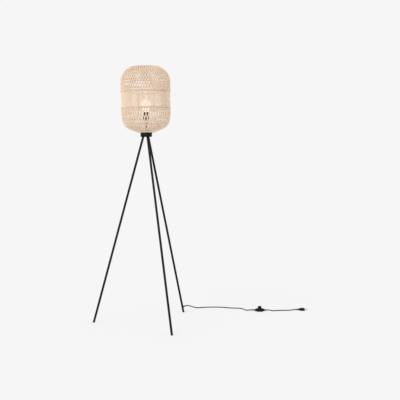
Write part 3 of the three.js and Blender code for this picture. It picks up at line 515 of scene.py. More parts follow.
# %% Canes
SEED = 7
WAVES = 4
WAVE_TURNS = (1.0, 7.0)
PAIR_WANDER = 0.35 * MM
CANE_WANDER = 0.14 * MM
ROOM_USED = 0.97
PAIR_SPACING = 1.05
rng = np.random.default_rng(SEED)


def wander(count, size):
    """Smooth random waves along the stations, one row for each cane."""
    turns = rng.uniform(*WAVE_TURNS, (count, WAVES, 1))
    phase = rng.uniform(0, TURN, (count, WAVES, 1))
    wave = np.sin(turns * np.linspace(0, TURN, STATIONS) + phase)
    return size * wave.sum(axis=1) / 2


def round_axis(reach, angle, height):
    """Points from their distance from the lamp's axis, their angle round it and their height."""
    return np.stack([AXIS.x + reach * np.cos(angle), AXIS.y + reach * np.sin(angle), height], axis=1)


def cane_paths(side):
    """Centre lines and radii of the canes that lean to one side, side being 1 or -1."""
    base = REPEAT_ANGLE * (side * (0.25 + row_count / 2) + lean)
    step = np.gradient(np.linspace(0, outline_length, STATIONS))
    slope = radius_at * np.gradient(base) / step
    upright = 1 / np.sqrt(1 + slope**2)
    room = TURN * radius_at / (2 * REPEATS) * upright
    diameter = np.minimum(CANE_DIAMETER, ROOM_USED * room)
    close = np.minimum(PAIR_SPACING * diameter / (2 * radius_at * upright), REPEAT_ANGLE / 4)
    offset = (1 - pairing) * REPEAT_ANGLE / 8 + pairing * close
    pair_shift = wander(REPEATS, PAIR_WANDER)
    depth_shift = wander(REPEATS, CANE_WANDER)
    paths = []
    for repeat in range(REPEATS):
        for hand in (-1, 1):
            shift = (pair_shift[repeat] * pairing + wander(1, CANE_WANDER)[0]) / SHADE_RADIUS
            angle = START_ANGLE + repeat * REPEAT_ANGLE + base + hand * offset + shift
            depth = side * WEAVE_DEPTH * over_under + depth_shift[repeat] - CANE_INSET
            reach, height = radius_at + outward[:, 0] * depth, height_at + outward[:, 1] * depth
            paths.append(round_axis(reach, angle, height))
    return paths, [diameter / 2] * len(paths)


def strands(name, paths, radii, material, node=None, closed=False, sides=1):
    """Many round strands as one mesh, each with a UV along it and a number of its own."""
    curve = bpy.data.curves.new(name, "CURVE")
    curve.dimensions = "3D"
    curve.bevel_depth = 1.0
    curve.bevel_resolution = sides
    for path, radius in zip(paths, radii):
        spline = curve.splines.new("POLY")
        spline.points.add(len(path) - 1)
        spline.points.foreach_set("co", np.column_stack([path, np.ones(len(path))]).ravel())
        spline.points.foreach_set("radius", np.broadcast_to(radius, len(path)).astype(np.float32))
        spline.use_cyclic_u = closed
    holder = linked("work", curve)
    bpy.context.view_layer.update()
    mesh = bpy.data.meshes.new_from_object(holder)
    bpy.data.objects.remove(holder)
    bpy.data.curves.remove(curve)
    mesh.name = name
    points = np.array([len(path) for path in paths])
    each = len(mesh.vertices) // points.sum()
    numbers = np.repeat(rng.random(len(paths)), each * points)
    tint = mesh.attributes.new("strand", "FLOAT", "POINT")
    tint.data.foreach_set("value", numbers.astype(np.float32))
    if not closed:
        bm = bmesh.new()
        bm.from_mesh(mesh)
        bmesh.ops.holes_fill(bm, edges=[e for e in bm.edges if e.is_boundary], sides=0)
        bmesh.ops.recalc_face_normals(bm, faces=bm.faces)
        bm.to_mesh(mesh)
        bm.free()
    mesh.shade_smooth()
    print(f"{name}: {len(paths)} strands, {sum(len(p.vertices) - 2 for p in mesh.polygons)} triangles")
    return hung(mesh, name, material, node)


# %% [markdown]
# Peeled rattan is a bundle of long fibres: fine streaks run along every cane, a faint ring marks each old
# node of the plant, and no two canes have quite the same straw tone. The strand's UV gives the direction,
# its stored number the tint. The binding is the plant's outer skin, so it is smoother and a shade deeper.
# The bulb is lit, and the sides that face it are given painted bulb light: a glow colour that falls off with
# distance, sent out as emission. A lamp strong enough to light them for real would fill the picture with
# specks, because its light gets out through small gaps only: so the group works out what that light would be
# from the way to the bulb, and paints it in as a colour to send out.

# %% Node group: cane fibre, and painted bulb light
BULB_PLACE = middle("bulb_glass")
# Colour of the painted bulb light on the cane sides that face the bulb.
PAINTED_BULB_LIGHT = (0.18, 0.2, 0.195, 1)
STRANDS_APART = 37.0
SLOW_ALONG = 14.0
JOINT_HALF_WIDTH = 0.012
STREAK_TONE = 0.9
STRAND_TONE = 0.5
SLOW_TONE = 0.5
JOINT_TONE = 0.35
TONE_OFFSET = 0.1
STREAK_ROUGHNESS = 0.12
JOINT_HEIGHT = 0.8
FIBRE_BUMP = 0.35
FIBRE_DEPTH = 0.12 * MM
CANE_SPECULAR = 0.25


def cane_group():
    tree, given, out = new_group("Cane fibre and painted bulb light", {
        "Pale": (COLOUR, (0.8, 0.6, 0.42, 1)), "Deep": (COLOUR, (0.6, 0.4, 0.24, 1)),
        "Length": (NUMBER, 0.5), "Streaks round": (NUMBER, 9.0), "Streaks along": (NUMBER, 26.0),
        "Joint spacing": (NUMBER, 0.17), "Roughness": (NUMBER, 0.6),
    }, {"Colour": COLOUR, "Roughness": NUMBER, "Height": NUMBER, "Painted bulb light": COLOUR})

    def product(first, second):
        return arithmetic(tree, "MULTIPLY", first, second)

    def total(first, second):
        return arithmetic(tree, "ADD", first, second)

    def noise(x, y, detail):
        place = add(tree, "ShaderNodeCombineXYZ", {"X": x, "Y": y, "Z": own}).outputs[0]
        made = add(tree, "ShaderNodeTexNoise", {"Vector": place, "Scale": 1.0, "Detail": detail})
        return made.outputs["Fac"]

    def vector_math(operation, output, *vectors):
        made = add(tree, "ShaderNodeVectorMath", dict(enumerate(vectors)), operation=operation)
        return made.outputs[output]

    uv = add(tree, "ShaderNodeSeparateXYZ", {0: tree.nodes.new("ShaderNodeUVMap").outputs["UV"]}).outputs
    strand = add(tree, "ShaderNodeAttribute", attribute_name="strand").outputs["Fac"]
    far = product(uv["X"], given["Length"])
    own = product(strand, STRANDS_APART)
    streaks = noise(product(far, given["Streaks along"]), product(uv["Y"], given["Streaks round"]), 4.0)
    slow = noise(product(far, SLOW_ALONG), 0.0, 1.0)
    beat = arithmetic(tree, "FRACT", total(arithmetic(tree, "DIVIDE", far, given["Joint spacing"]), own))
    near = arithmetic(tree, "ABSOLUTE", arithmetic(tree, "SUBTRACT", beat, 0.5))
    joint = add(tree, "ShaderNodeMapRange", {"Value": near, "From Min": 0.0, "From Max": JOINT_HALF_WIDTH,
                                             "To Min": 1.0, "To Max": 0.0},
                interpolation_type="SMOOTHSTEP").outputs[0]
    tone = product(arithmetic(tree, "SUBTRACT", streaks, 0.5), STREAK_TONE)
    for mask, weight in ((strand, STRAND_TONE), (slow, SLOW_TONE), (joint, JOINT_TONE)):
        tone = total(tone, product(mask, weight))
    tone = arithmetic(tree, "SUBTRACT", tone, TONE_OFFSET)
    clamped = add(tree, "ShaderNodeClamp", {"Value": tone}).outputs[0]
    # Painted bulb light: sides that face the bulb get a glow colour that falls off with distance, with no
    # real light behind it.
    here = tree.nodes.new("ShaderNodeTexCoord").outputs
    way = vector_math("SUBTRACT", 0, tuple(BULB_PLACE), here["Object"])
    facing = vector_math("DOT_PRODUCT", "Value", vector_math("NORMALIZE", 0, way), here["Normal"])
    nearness = arithmetic(tree, "DIVIDE", SHADE_RADIUS, vector_math("LENGTH", "Value", way))
    lit = product(arithmetic(tree, "MAXIMUM", facing, 0.0), product(nearness, nearness))
    for label, value in (("Colour", blend_colours(tree, clamped, given["Pale"], given["Deep"])),
                         ("Roughness", total(given["Roughness"], product(streaks, STREAK_ROUGHNESS))),
                         ("Height", total(streaks, product(joint, JOINT_HEIGHT))),
                         ("Painted bulb light", blend_colours(tree, lit, (0, 0, 0, 1), PAINTED_BULB_LIGHT))):
        tree.links.new(value, out.inputs[label])
    return tree


CANE = cane_group()


def cane_finish(name, pale, deep, length, roughness, streaks_round=9.0):
    values = {"Pale": (*pale, 1), "Deep": (*deep, 1), "Length": length, "Streaks round": streaks_round,
              "Roughness": roughness}
    material, inputs, look = surfaced(name, CANE, values, FIBRE_BUMP, FIBRE_DEPTH)
    # The painted bulb light is sent out as emission, and it is not sampled as a lamp.
    material.node_tree.links.new(look["Painted bulb light"], inputs["Emission Color"])
    inputs["Emission Strength"].default_value = 1.0
    inputs["Specular IOR Level"].default_value = CANE_SPECULAR
    material.cycles.emission_sampling = "NONE"
    return material


hoop_length = TURN * SHADE_RADIUS
WRAP_LENGTH = 0.05
peeled_cane = cane_finish("peeled_cane", (0.895, 0.745, 0.6), (0.78, 0.595, 0.435), outline_length, 0.52)
cane_pole = cane_finish("cane_pole", (0.8, 0.6, 0.42), (0.6, 0.41, 0.25), hoop_length, 0.5)
cane_skin = cane_finish("cane_skin", (0.78, 0.58, 0.4), (0.6, 0.41, 0.25), hoop_length, 0.4)
wrap_skin = cane_finish("wrapped_strip", (0.61, 0.48, 0.37), (0.49, 0.36, 0.25), WRAP_LENGTH, 0.42,
                        streaks_round=3.0)

# %% [markdown]
# The wall is two families of canes that lean against each other. A weaver works both at once, but here
# each family is one piece, because all its canes lean the same way and pass over and under together.

# %% Weave both families
strands("canes_leaning_right", *cane_paths(1), peeled_cane, "woven_wall")
strands("canes_leaning_left", *cane_paths(-1), peeled_cane)

# %% [markdown]
# Two hoops hold the middle band in shape from inside. Each is a round pole of thicker cane, lashed to the
# uprights by a thin strip that winds round both, and a twined row of two thin strands runs just above and
# below it. All of these are closed rings whose distance from the wall and height swing as they go round.

# %% Hoops, lashing and twining
TWINE_RADIUS = 0.5 * MM
LASH_RADIUS = 0.55 * MM
LASH_LIFT = 1.4 * LASH_RADIUS
POLE_RADIUS = 2.1 * MM
POLE_POINTS = 224
TWINE_RISE = 3.0 * MM
SQUARE_DEPTH = 0.45
SQUARE_HEIGHT = 0.6
upright_half = CANE_DIAMETER / 2


def wall_at(height):
    """Radius and height of the canes' middle surface near a height, and its outward direction there."""
    near = np.interp(height, height_at, np.arange(STATIONS))
    normal = [np.interp(near, np.arange(STATIONS), outward[:, k]) for k in range(2)]
    radius = np.interp(height, height_at, radius_at)
    return radius - CANE_INSET * normal[0], height - CANE_INSET * normal[1], normal


def ring_path(height, turns, swing, rise, phase, points=8):
    """A closed strand round the shade that swings in and out of the wall, turns times."""
    radius, level, normal = wall_at(height)
    around = np.linspace(0, TURN, turns * points, endpoint=False)
    beat = turns * around + phase
    depth = swing * np.cos(beat)
    climb = rise * np.sin(beat)
    return round_axis(radius + normal[0] * depth - normal[1] * climb, START_ANGLE + around,
                      level + normal[1] * depth + normal[0] * climb)


def lash_path(height, turns, inner, outer, half_height, points=12):
    """A strip wound round a pole and the canes before it, square at its corners."""
    radius, level, _ = wall_at(height)
    around = np.linspace(0, TURN, turns * points, endpoint=False)
    c, s = np.cos(turns * around), np.sin(turns * around)
    c, s = np.sign(c) * np.abs(c) ** SQUARE_DEPTH, np.sign(s) * np.abs(s) ** SQUARE_HEIGHT
    depth = (outer + inner) / 2 + (outer - inner) / 2 * c
    return round_axis(radius + depth, START_ANGLE + around, level + half_height * s)


for label, height in zip(("lower", "upper"), HOOP_HEIGHTS):
    radius, level, _ = wall_at(height)
    around = np.linspace(0, TURN, POLE_POINTS, endpoint=False)
    pole = round_axis(radius - upright_half - POLE_RADIUS, around, np.full(POLE_POINTS, level))
    strands(f"{label}_hoop_pole", [pole], [POLE_RADIUS], cane_pole, f"{label}_hoop", closed=True, sides=3)
    twined = [ring_path(height + side * TWINE_RISE, 2 * REPEATS, upright_half + TWINE_RADIUS, TWINE_RADIUS,
                        phase) for side in (-1, 1) for phase in (0, math.pi)]
    lash = lash_path(height, 2 * REPEATS, -upright_half - 2 * POLE_RADIUS - LASH_RADIUS,
                     upright_half + LASH_RADIUS, POLE_RADIUS + LASH_LIFT)
    strands(f"{label}_hoop_binding", twined + [lash], [TWINE_RADIUS] * len(twined) + [LASH_RADIUS], cane_skin,
            closed=True)

# %% [markdown]
# The top rim is a bundle of canes wrapped edge to edge with flat strip. A circle of points is spun round
# the lamp's axis, and then each point is pressed in a little where two turns of the strip meet. The ends
# of the wall's canes run into the bundle. The bottom ring is a smaller bundle of the same kind, and two
# strands lashed in and out of the wall hold the crossings just under the rim.

# %% Wrapped rims
WRAP_STEPS = 6
RIM_HALF_HEIGHT = 6.9 * MM
RIM_HALF_WIDTH = 8.0 * MM
RIM_OVERHANG = 1.5 * MM
RIM_WRAPS = 86
BOTTOM_HALF = 2.9 * MM
BOTTOM_OVERHANG = 0.4 * MM
BOTTOM_WRAPS = 44
LASHING_ROW = 6
LASHING_RADIUS = 0.85 * MM
LASHING_PLAY = 0.8 * MM
LASHING_RISE = 0.9 * MM


def wrapped_ring(name, centre_radius, centre_height, half_width, half_height, wraps, node, groove=0.55 * MM,
                 sides=18):
    """A bundle bent to a ring, pressed in along the seams of the strip that is wound round it."""
    def angles(point):
        offset = point - Vector((AXIS.x, AXIS.y, 0))
        around = math.atan2(offset.z - centre_height, math.hypot(offset.x, offset.y) - centre_radius)
        return math.atan2(offset.y, offset.x), around

    bm = bmesh.new()
    section = bmesh.ops.create_circle(bm, segments=sides, radius=1.0)["verts"]
    shape = (Matrix.Translation((AXIS.x + centre_radius, AXIS.y, centre_height))
             @ Matrix.Diagonal((half_width, 1, half_height, 1)) @ Matrix.Rotation(math.pi / 2, 4, "X"))
    bmesh.ops.transform(bm, matrix=shape, verts=section)
    bmesh.ops.spin(bm, geom=bm.verts[:] + bm.edges[:], cent=(AXIS.x, AXIS.y, 0), axis=(0, 0, 1),
                   angle=TURN, steps=wraps * WRAP_STEPS, use_merge=True)
    uv = bm.loops.layers.uv.new("UVMap")
    for vert in bm.verts:
        angle, around = angles(vert.co)
        share = (wraps * angle / TURN + 0.5 * around / math.pi) % 1
        level = math.cos(around)
        pull = Vector((level * math.cos(angle), level * math.sin(angle), math.sin(around)))
        vert.co -= pull * (groove * abs(2 * share - 1) ** 4)
    for face in bm.faces:
        for loop in face.loops:
            angle, around = angles(loop.vert.co)
            loop[uv].uv = (around / TURN, angle / TURN * wraps)
    bmesh.ops.recalc_face_normals(bm, faces=bm.faces)
    mesh = meshed(name, bm)
    mesh.shade_smooth()
    print(f"{name}: {wraps} turns of strip, {len(mesh.polygons)} faces")
    return hung(mesh, name, wrap_skin, node)


rim_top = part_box("top_rim")[1].z
ring_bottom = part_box("bottom_ring")[0].z
wrapped_ring("wrapped_top_rim", radius_at[-1] + RIM_OVERHANG - RIM_HALF_WIDTH, rim_top - RIM_HALF_HEIGHT,
             RIM_HALF_WIDTH, RIM_HALF_HEIGHT, RIM_WRAPS, "top_rim")
wrapped_ring("wrapped_bottom_ring", radius_at[0] - BOTTOM_HALF + BOTTOM_OVERHANG, ring_bottom + BOTTOM_HALF,
             BOTTOM_HALF, BOTTOM_HALF, BOTTOM_WRAPS, "bottom_ring", groove=0.3 * MM, sides=12)
lashing = [ring_path(ROWS_UP[LASHING_ROW], REPEATS // 2, WEAVE_DEPTH + upright_half + LASHING_PLAY,
                     LASHING_RISE, phase, points=12) for phase in (0, math.pi)]
strands("lashing_under_rim", lashing, [LASHING_RADIUS] * len(lashing), cane_skin, closed=True)

# %% [markdown]
# Each leg is a straight steel tube. The frame's boxes give its axis: the middle of the tube's box and the
# middle of its threaded nipple's box both lie on it. A tube is a closed profile spun round Z, then turned
# onto that axis. It is drawn half a millimetre wider all round than the frame's tube, because a thin dark
# line comes out thinner in a render than in a photograph. The back leg has a hole for the cable, cut by a
# boolean with a short cylinder.

# %% Legs
LEG_RADIUS = 6.5 * MM
LEG_WALL = 1.5 * MM
LEG_SIDES = ("left", "front", "back")
GLAND_NECK = 3.9 * MM
GLAND_HEIGHT = CORD_TO_SWITCH[0][2]


def leg_matrix(side):
    """The frame of one leg: origin at the tube's middle, +Z up its axis, +X away from the lamp."""
    centre = middle(f"leg_tube_{side}")
    up = (middle(f"leg_nipple_{side}") - centre).normalized()
    out = Vector((centre.x - AXIS.x, centre.y - AXIS.y, 0))
    out = (out - up * out.dot(up)).normalized()
    matrix = Matrix((out, up.cross(out), up)).transposed().to_4x4()
    matrix.translation = centre
    return matrix


def leg_half_length(side):
    low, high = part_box(f"leg_tube_{side}")
    up = leg_matrix(side).to_3x3() @ Vector((0, 0, 1))
    level = math.sqrt(1 - up.z**2)
    return (high.z - low.z - 2 * LEG_RADIUS * level) / up.z / 2


gland_middle = middle("cord_gland")
gland_out = (gland_middle - Vector((AXIS.x, AXIS.y, gland_middle.z))).normalized()
back = leg_matrix("back")
leg_up = back.to_3x3() @ Vector((0, 0, 1))
gland_root = back.translation + leg_up * ((GLAND_HEIGHT - back.translation.z) / leg_up.z)
for side in LEG_SIDES:
    half = leg_half_length(side)
    leg = moved(tube(LEG_RADIUS, LEG_WALL, -half, half), leg_matrix(side))
    if side == "back":
        leg = combined(leg, moved(cylinder(GLAND_NECK, 0, 3 * LEG_RADIUS), along(gland_out, gland_root)))
    finished(f"leg_{side}", leg, powder_coat, f"leg_tube_{side}", soft=0.2 * MM)

# %% [markdown]
# The rubber feet are plugged into the tubes and ground flush with the floor. A spun plug with a small
# lip is turned onto the leg's axis, and then cut off level at the floor by a bisecting plane.

# %% Foot caps
CAP_BELOW = 12 * MM
CAP_PLUG = 12 * MM
CAP_LIP = 0.25 * MM
CAP_LIP_ROUND = 1.2 * MM
CAP_PLAY = 0.3 * MM
CAP_SEAM = 0.15 * MM
CAP_CHAMFER = 1 * MM
for side in LEG_SIDES:
    plug = LEG_RADIUS - LEG_WALL - CAP_PLAY
    lip = LEG_RADIUS + CAP_LIP
    top = -leg_half_length(side) - CAP_SEAM
    cap = spun([(0, top - CAP_BELOW), (lip, top - CAP_BELOW), (lip, top - CAP_LIP_ROUND),
                (LEG_RADIUS - 0.1 * MM, top), (plug, top), (plug, top + CAP_PLUG - CAP_CHAMFER),
                (plug - CAP_CHAMFER, top + CAP_PLUG), (0, top + CAP_PLUG)])
    sliced(moved(cap, leg_matrix(side)), (0, 0, 0), (0, 0, -1))
    finished(f"foot_{side}", cap, black_rubber, f"foot_cap_{side}", soft=0.25 * MM)

# %% [markdown]
# The hub is a turned steel cup. Its profile is spun with a small chamfer at both edges, and the three
# legs' seats are cut into its underside, each with a hole for the nipple that screws into it.

# %% Hub
HUB_WALL = 3 * MM
HUB_FLOOR = 9.5 * MM
HUB_CHAMFER = 1 * MM
SEAT_CLEARANCE = 0.25 * MM
NIPPLE_RADIUS = 5 * MM
hub_bottom, hub_top, hub_radius = round_size("hub_body")
hub_face = hub_radius - HUB_CHAMFER
hub_bore = hub_radius - HUB_WALL
hub = at_axis(spun([(0, hub_bottom), (hub_face, hub_bottom), (hub_radius, hub_bottom + HUB_CHAMFER),
                    (hub_radius, hub_top - HUB_CHAMFER), (hub_face, hub_top), (hub_bore, hub_top),
                    (hub_bore, hub_bottom + HUB_FLOOR), (0, hub_bottom + HUB_FLOOR)], 96))
for side in LEG_SIDES:
    half = leg_half_length(side)
    seat = cylinder(LEG_RADIUS + SEAT_CLEARANCE, half - 4 * LEG_RADIUS, half + SEAT_CLEARANCE)
    thread = cylinder(NIPPLE_RADIUS, half - LEG_RADIUS, half + 3 * LEG_RADIUS)
    for tool in (seat, thread):
        hub = combined(hub, moved(tool, leg_matrix(side)))
finished("hub_cup", hub, powder_coat, "hub_body", soft=0.25 * MM)

# %% [markdown]
# The lid, its screws, the fitter and the nut are stamped, turned or bought, and keep the frame's shapes: a
# merged copy with softened edges is all they need.

# %% Small hardware from the frame
COPIED = {
    "hub_lid_plate": ("hub_lid", powder_coat, 0.25 * MM),
    "fitter_wheel": ("shade_fitter", powder_coat, 0.3 * MM),
    "rod_hex_nut": ("rod_nut", zinc, 0.3 * MM),
    "lid_screw_a": ("lid_screw_1", zinc, 0.1 * MM),
    "lid_screw_b": ("lid_screw_2", zinc, 0.1 * MM),
    "lid_screw_c": ("lid_screw_3", zinc, 0.1 * MM),
}
for name, (node, material, soft) in COPIED.items():
    finished(name, from_frame(node), material, node, soft)

# %% [markdown]
# A rubber gland keeps the cord from chafing where it leaves the leg. It is spun with flexing ribs, and a
# cylinder along the leg cuts the saddle that seats it on the tube.

# %% Cord gland
GLAND_RADIUS = 5 * MM
GLAND_TIP = 3.8 * MM
GLAND_REACH = 28 * MM
GLAND_RIBS = 5
CORD_BORE = 3.15 * MM
PLAIN_SHARE = 0.3
RIB_GROOVE = 0.56 * MM
RIB_SHAPE = ((0.0, 0.0), (0.35, 0.0), (0.5, RIB_GROOVE), (0.85, RIB_GROOVE))


def ribbed_sleeve(start, end, wide, narrow, ribs):
    """A tapered strain relief with the cord's bore, ribbed along its outer part."""
    profile = [(CORD_BORE, start), (wide, start)]
    first = start + (end - start) * PLAIN_SHARE
    pitch = (end - first) / (ribs + 0.5)
    for i in range(ribs):
        for share, depth in RIB_SHAPE:
            height = first + (i + share) * pitch
            radius = wide + (narrow - wide) * (height - start) / (end - start)
            profile.append((radius - depth, height))
    profile += [(narrow, end - 0.4 * pitch), (narrow, end), (CORD_BORE, end)]
    return spun(profile, 48)


gland = ribbed_sleeve(0.5 * MM, GLAND_REACH, GLAND_RADIUS, GLAND_TIP, GLAND_RIBS)
saddle = cylinder(LEG_RADIUS + 0.1 * MM, -6 * LEG_RADIUS, 6 * LEG_RADIUS)
gland = combined(moved(gland, along(gland_out, gland_root)), moved(saddle, along(leg_up, gland_root)))
finished("gland_sleeve", gland, black_rubber, "cord_gland", soft=0.12 * MM)

# %% [markdown]
# Inside the shade a black stem tube carries the lampholder: a cap with a neck and a cone, and a sleeve
# with a rolled rim, both spun. Under the bulb sits a nickel shell whose wall is rolled into a thread.

# %% Stem and lampholder
STEM_WALL = 1.2 * MM
NECK = 7.5 * MM
NECK_BORE = 5 * MM
NECK_HEIGHT = 6 * MM
CONE_HEIGHT = 12 * MM
HOLDER_WALL = 2 * MM
HOLDER_PLAY = 0.3 * MM
SLEEVE_RIBS = 40
RIB_SWELL = 0.018
GRIP_DEPTH = 0.5 * MM
RIM_HEIGHT = 6 * MM
RIM_ROUND = 1.2 * MM
stem_bottom, stem_top, stem_radius = round_size("stem_tube")
stem = tube(stem_radius, STEM_WALL, stem_bottom, stem_top)
finished("stem", at_axis(stem), powder_coat, "stem_tube", soft=0.3 * MM)

cap_bottom, cap_top, holder_radius = round_size("holder_cap")
sleeve_bottom, sleeve_top, rim_radius = round_size("holder_sleeve")
neck_top = cap_bottom + NECK_HEIGHT
cone_top = neck_top + CONE_HEIGHT
bore = holder_radius - HOLDER_WALL
cap = spun([(NECK_BORE, cap_bottom), (NECK, cap_bottom), (NECK, neck_top - 1 * MM),
            (NECK + 0.6 * MM, neck_top), (NECK + 5 * MM, cone_top - 4.2 * MM),
            (holder_radius - 0.8 * MM, cone_top - 1 * MM), (holder_radius, cone_top),
            (holder_radius, cap_top), (bore + HOLDER_PLAY, cap_top),
            (bore + HOLDER_PLAY, cone_top - 1.6 * MM),
            (NECK, neck_top + HOLDER_WALL), (NECK_BORE, neck_top + HOLDER_WALL)])
finished("lampholder_cap", at_axis(cap), black_plastic, "holder_cap", soft=0.35 * MM)

grip = holder_radius - GRIP_DEPTH
rim_start = sleeve_top - RIM_HEIGHT
sleeve = spun([(bore, sleeve_bottom), (holder_radius, sleeve_bottom), (holder_radius, sleeve_bottom + 3 * MM),
               (grip, sleeve_bottom + 3.5 * MM), (grip, rim_start - 2.5 * MM),
               (holder_radius, rim_start - 2 * MM), (holder_radius, rim_start),
               (rim_radius, rim_start + 1 * MM), (rim_radius, sleeve_top - RIM_ROUND),
               (rim_radius - RIM_ROUND, sleeve_top), (bore, sleeve_top)], SLEEVE_RIBS * 4)
for vert in sleeve.verts:
    if abs(math.hypot(vert.co.x, vert.co.y) - grip) < 0.01 * MM:
        turn = math.atan2(vert.co.y, vert.co.x) * SLEEVE_RIBS
        vert.co.xy *= 1 + RIB_SWELL * max(0.0, math.cos(turn))
finished("lampholder_sleeve", at_axis(sleeve), black_plastic, "holder_sleeve", soft=0.3 * MM)

THREAD_PITCH = 3.63 * MM
THREAD_FADE = 1.5 * MM
THREAD_ROWS = 60
SHELL_CLEARANCE = 0.35 * MM
SHELL_WALL = 0.5 * MM


def threaded_tube(inner, outer, bottom, top, thread_top, depth):
    """A finely spun tube with a rolled thread: each point moves out by where it is on the helix."""
    heights = np.linspace(bottom, top, THREAD_ROWS)
    bm = spun([(outer, z) for z in heights] + [(inner, z) for z in heights[::-1]], 72)
    for vert in bm.verts:
        x, y, z = vert.co
        edge = min(1.0, max(0.0, min(z - bottom, thread_top - z) / THREAD_FADE))
        wave = math.cos(TURN * z / THREAD_PITCH - math.atan2(y, x))
        vert.co.xy *= 1 + depth * edge * wave / math.hypot(x, y)
    return bm


shell_bottom, shell_top, shell_radius = round_size("screw_shell")
shell_outer = shell_radius - SHELL_CLEARANCE
shell = threaded_tube(shell_outer - SHELL_WALL, shell_outer, shell_bottom, shell_top, shell_top, 0.3 * MM)
finished("threaded_shell", at_axis(shell), nickel, "screw_shell", soft=0)

# %% [markdown]
# The bulb is an opal A-shape. Its glass is blown: a neck, a flare and a dome on one smooth line, spun and
# given a thin wall by solidify. The metal cap under it carries the same rolled thread as the shell.

# %% Bulb
BULB_NECK = 12.1 * MM
GLASS_WALL = 0.9 * MM
NECK_IN_CAP = 10 * MM
FLARE_SHARES = [(0.11, 0.1), (0.35, 0.31), (0.69, 0.54), (0.94, 0.8)]
PLAIN_CAP_TOP = 3 * MM
glass_bottom, glass_top, bulb_radius = round_size("bulb_glass")
widest = glass_top - bulb_radius
flare_start = glass_bottom + NECK_IN_CAP
knots = [(BULB_NECK, glass_bottom), (BULB_NECK, flare_start)]
knots += [(BULB_NECK + out * (bulb_radius - BULB_NECK), flare_start + up * (widest - flare_start))
          for out, up in FLARE_SHARES]
knots += [(bulb_radius * math.cos(turn), widest + bulb_radius * math.sin(turn))
          for turn in np.linspace(0, math.pi / 2, 9)]
profile = [tuple(p) for p in even_line(knots, 48)[0]]
profile[-1] = (0, glass_top)
globe = spun(profile, 72, shut=False)
bmesh.ops.solidify(globe, geom=globe.faces, thickness=GLASS_WALL)
finished("bulb_globe", at_axis(globe), opal_glass, "bulb_glass", soft=0, body="bulb")

screw_bottom, screw_top, screw_radius = round_size("bulb_cap")
screw_cap = threaded_tube(BULB_NECK + 0.3 * MM, screw_radius - SHELL_CLEARANCE, screw_bottom, screw_top,
                          screw_top - PLAIN_CAP_TOP, 0.35 * MM)
finished("bulb_screw_cap", at_axis(screw_cap), nickel, "bulb_cap", soft=0, body="bulb")

# %% [markdown]
# The foot switch is a flat almond of moulded plastic with its ends cut square, in two halves that meet at
# a seam, with a collar round a big round button. A parabola spun round the cord's line gives the almond.
# Planes cut its ends, its foot and the seam, and booleans with a smaller almond and cylinders hollow it.
# The spring under the button keeps the frame's coil.

# %% Foot switch
SWITCH_TAPER = 40 * MM
SWITCH_HALF_LENGTH = 31 * MM
SWITCH_HALF_WIDTH = 20 * MM
SWITCH_HALF_HEIGHT = 12.5 * MM
SWITCH_AXIS_HEIGHT = 9 * MM
SWITCH_WALL = 2 * MM
COLLAR_TOP = 22.5 * MM
COLLAR_START = 15 * MM
COLLAR_RADIUS = 13.6 * MM
BUTTON_RADIUS = 11 * MM
BUTTON_WALL = 1.5 * MM
BUTTON_SKIN = 2.5 * MM
BUTTON_FLANGE = 12.2 * MM
DISH = 0.8 * MM
RELIEF_RADIUS = 4.4 * MM
RELIEF_TIP = 3.7 * MM
RELIEF_LENGTH = 27 * MM
RELIEF_IN_BODY = 7 * MM
RELIEF_RIBS = 4
RELIEF_PLAY = 0.2 * MM
SEAM_GAP = 0.3 * MM
ALMOND_STEPS = 24
switch_place = middle("switch_base")
switch_place.z = 0
switch_line = Matrix.Translation((0, 0, SWITCH_AXIS_HEIGHT)) @ ALONG_X


def almond(shrink):
    heights = [-math.cos(math.pi * i / ALMOND_STEPS) for i in range(ALMOND_STEPS + 1)]
    size = Matrix.Diagonal((SWITCH_HALF_HEIGHT - shrink, SWITCH_HALF_WIDTH - shrink,
                            SWITCH_TAPER - shrink, 1))
    return moved(spun([(max(0.0, 1 - s * s), s) for s in heights], 72), switch_line @ size)


def half_shell(upper):
    seam = SWITCH_AXIS_HEIGHT + (SEAM_GAP / 2 if upper else -SEAM_GAP / 2)
    outer = almond(0)
    for side in (-1, 1):
        sliced(outer, (side * SWITCH_HALF_LENGTH, 0, 0), (side, 0, 0))
    sliced(outer, (0, 0, 0), (0, 0, -1))
    sliced(outer, (0, 0, seam), (0, 0, -1 if upper else 1))
    inner = almond(SWITCH_WALL)
    if not upper:
        sliced(inner, (0, 0, SWITCH_WALL), (0, 0, -1))
    shell = combined(outer, inner)
    if upper:
        collar = spun([(0, COLLAR_START), (COLLAR_RADIUS + 1.2 * MM, COLLAR_START),
                       (COLLAR_RADIUS, COLLAR_TOP - 2 * MM),
                       (COLLAR_RADIUS - 0.3 * MM, COLLAR_TOP - 0.6 * MM),
                       (COLLAR_RADIUS - 0.9 * MM, COLLAR_TOP), (0, COLLAR_TOP)], 72)
        shell = combined(shell, collar, "UNION")
        shell = combined(shell, cylinder(BUTTON_RADIUS + SEAM_GAP, 0, 2 * COLLAR_TOP, 72))
    hole = moved(cylinder(RELIEF_RADIUS + RELIEF_PLAY, -2 * SWITCH_TAPER, 2 * SWITCH_TAPER), switch_line)
    return moved(combined(shell, hole), Matrix.Translation(switch_place))


finished("switch_lower_shell", half_shell(False), black_plastic, "switch_base", soft=0.25 * MM)
finished("switch_upper_shell", half_shell(True), black_plastic, "switch_cover", soft=0.25 * MM)

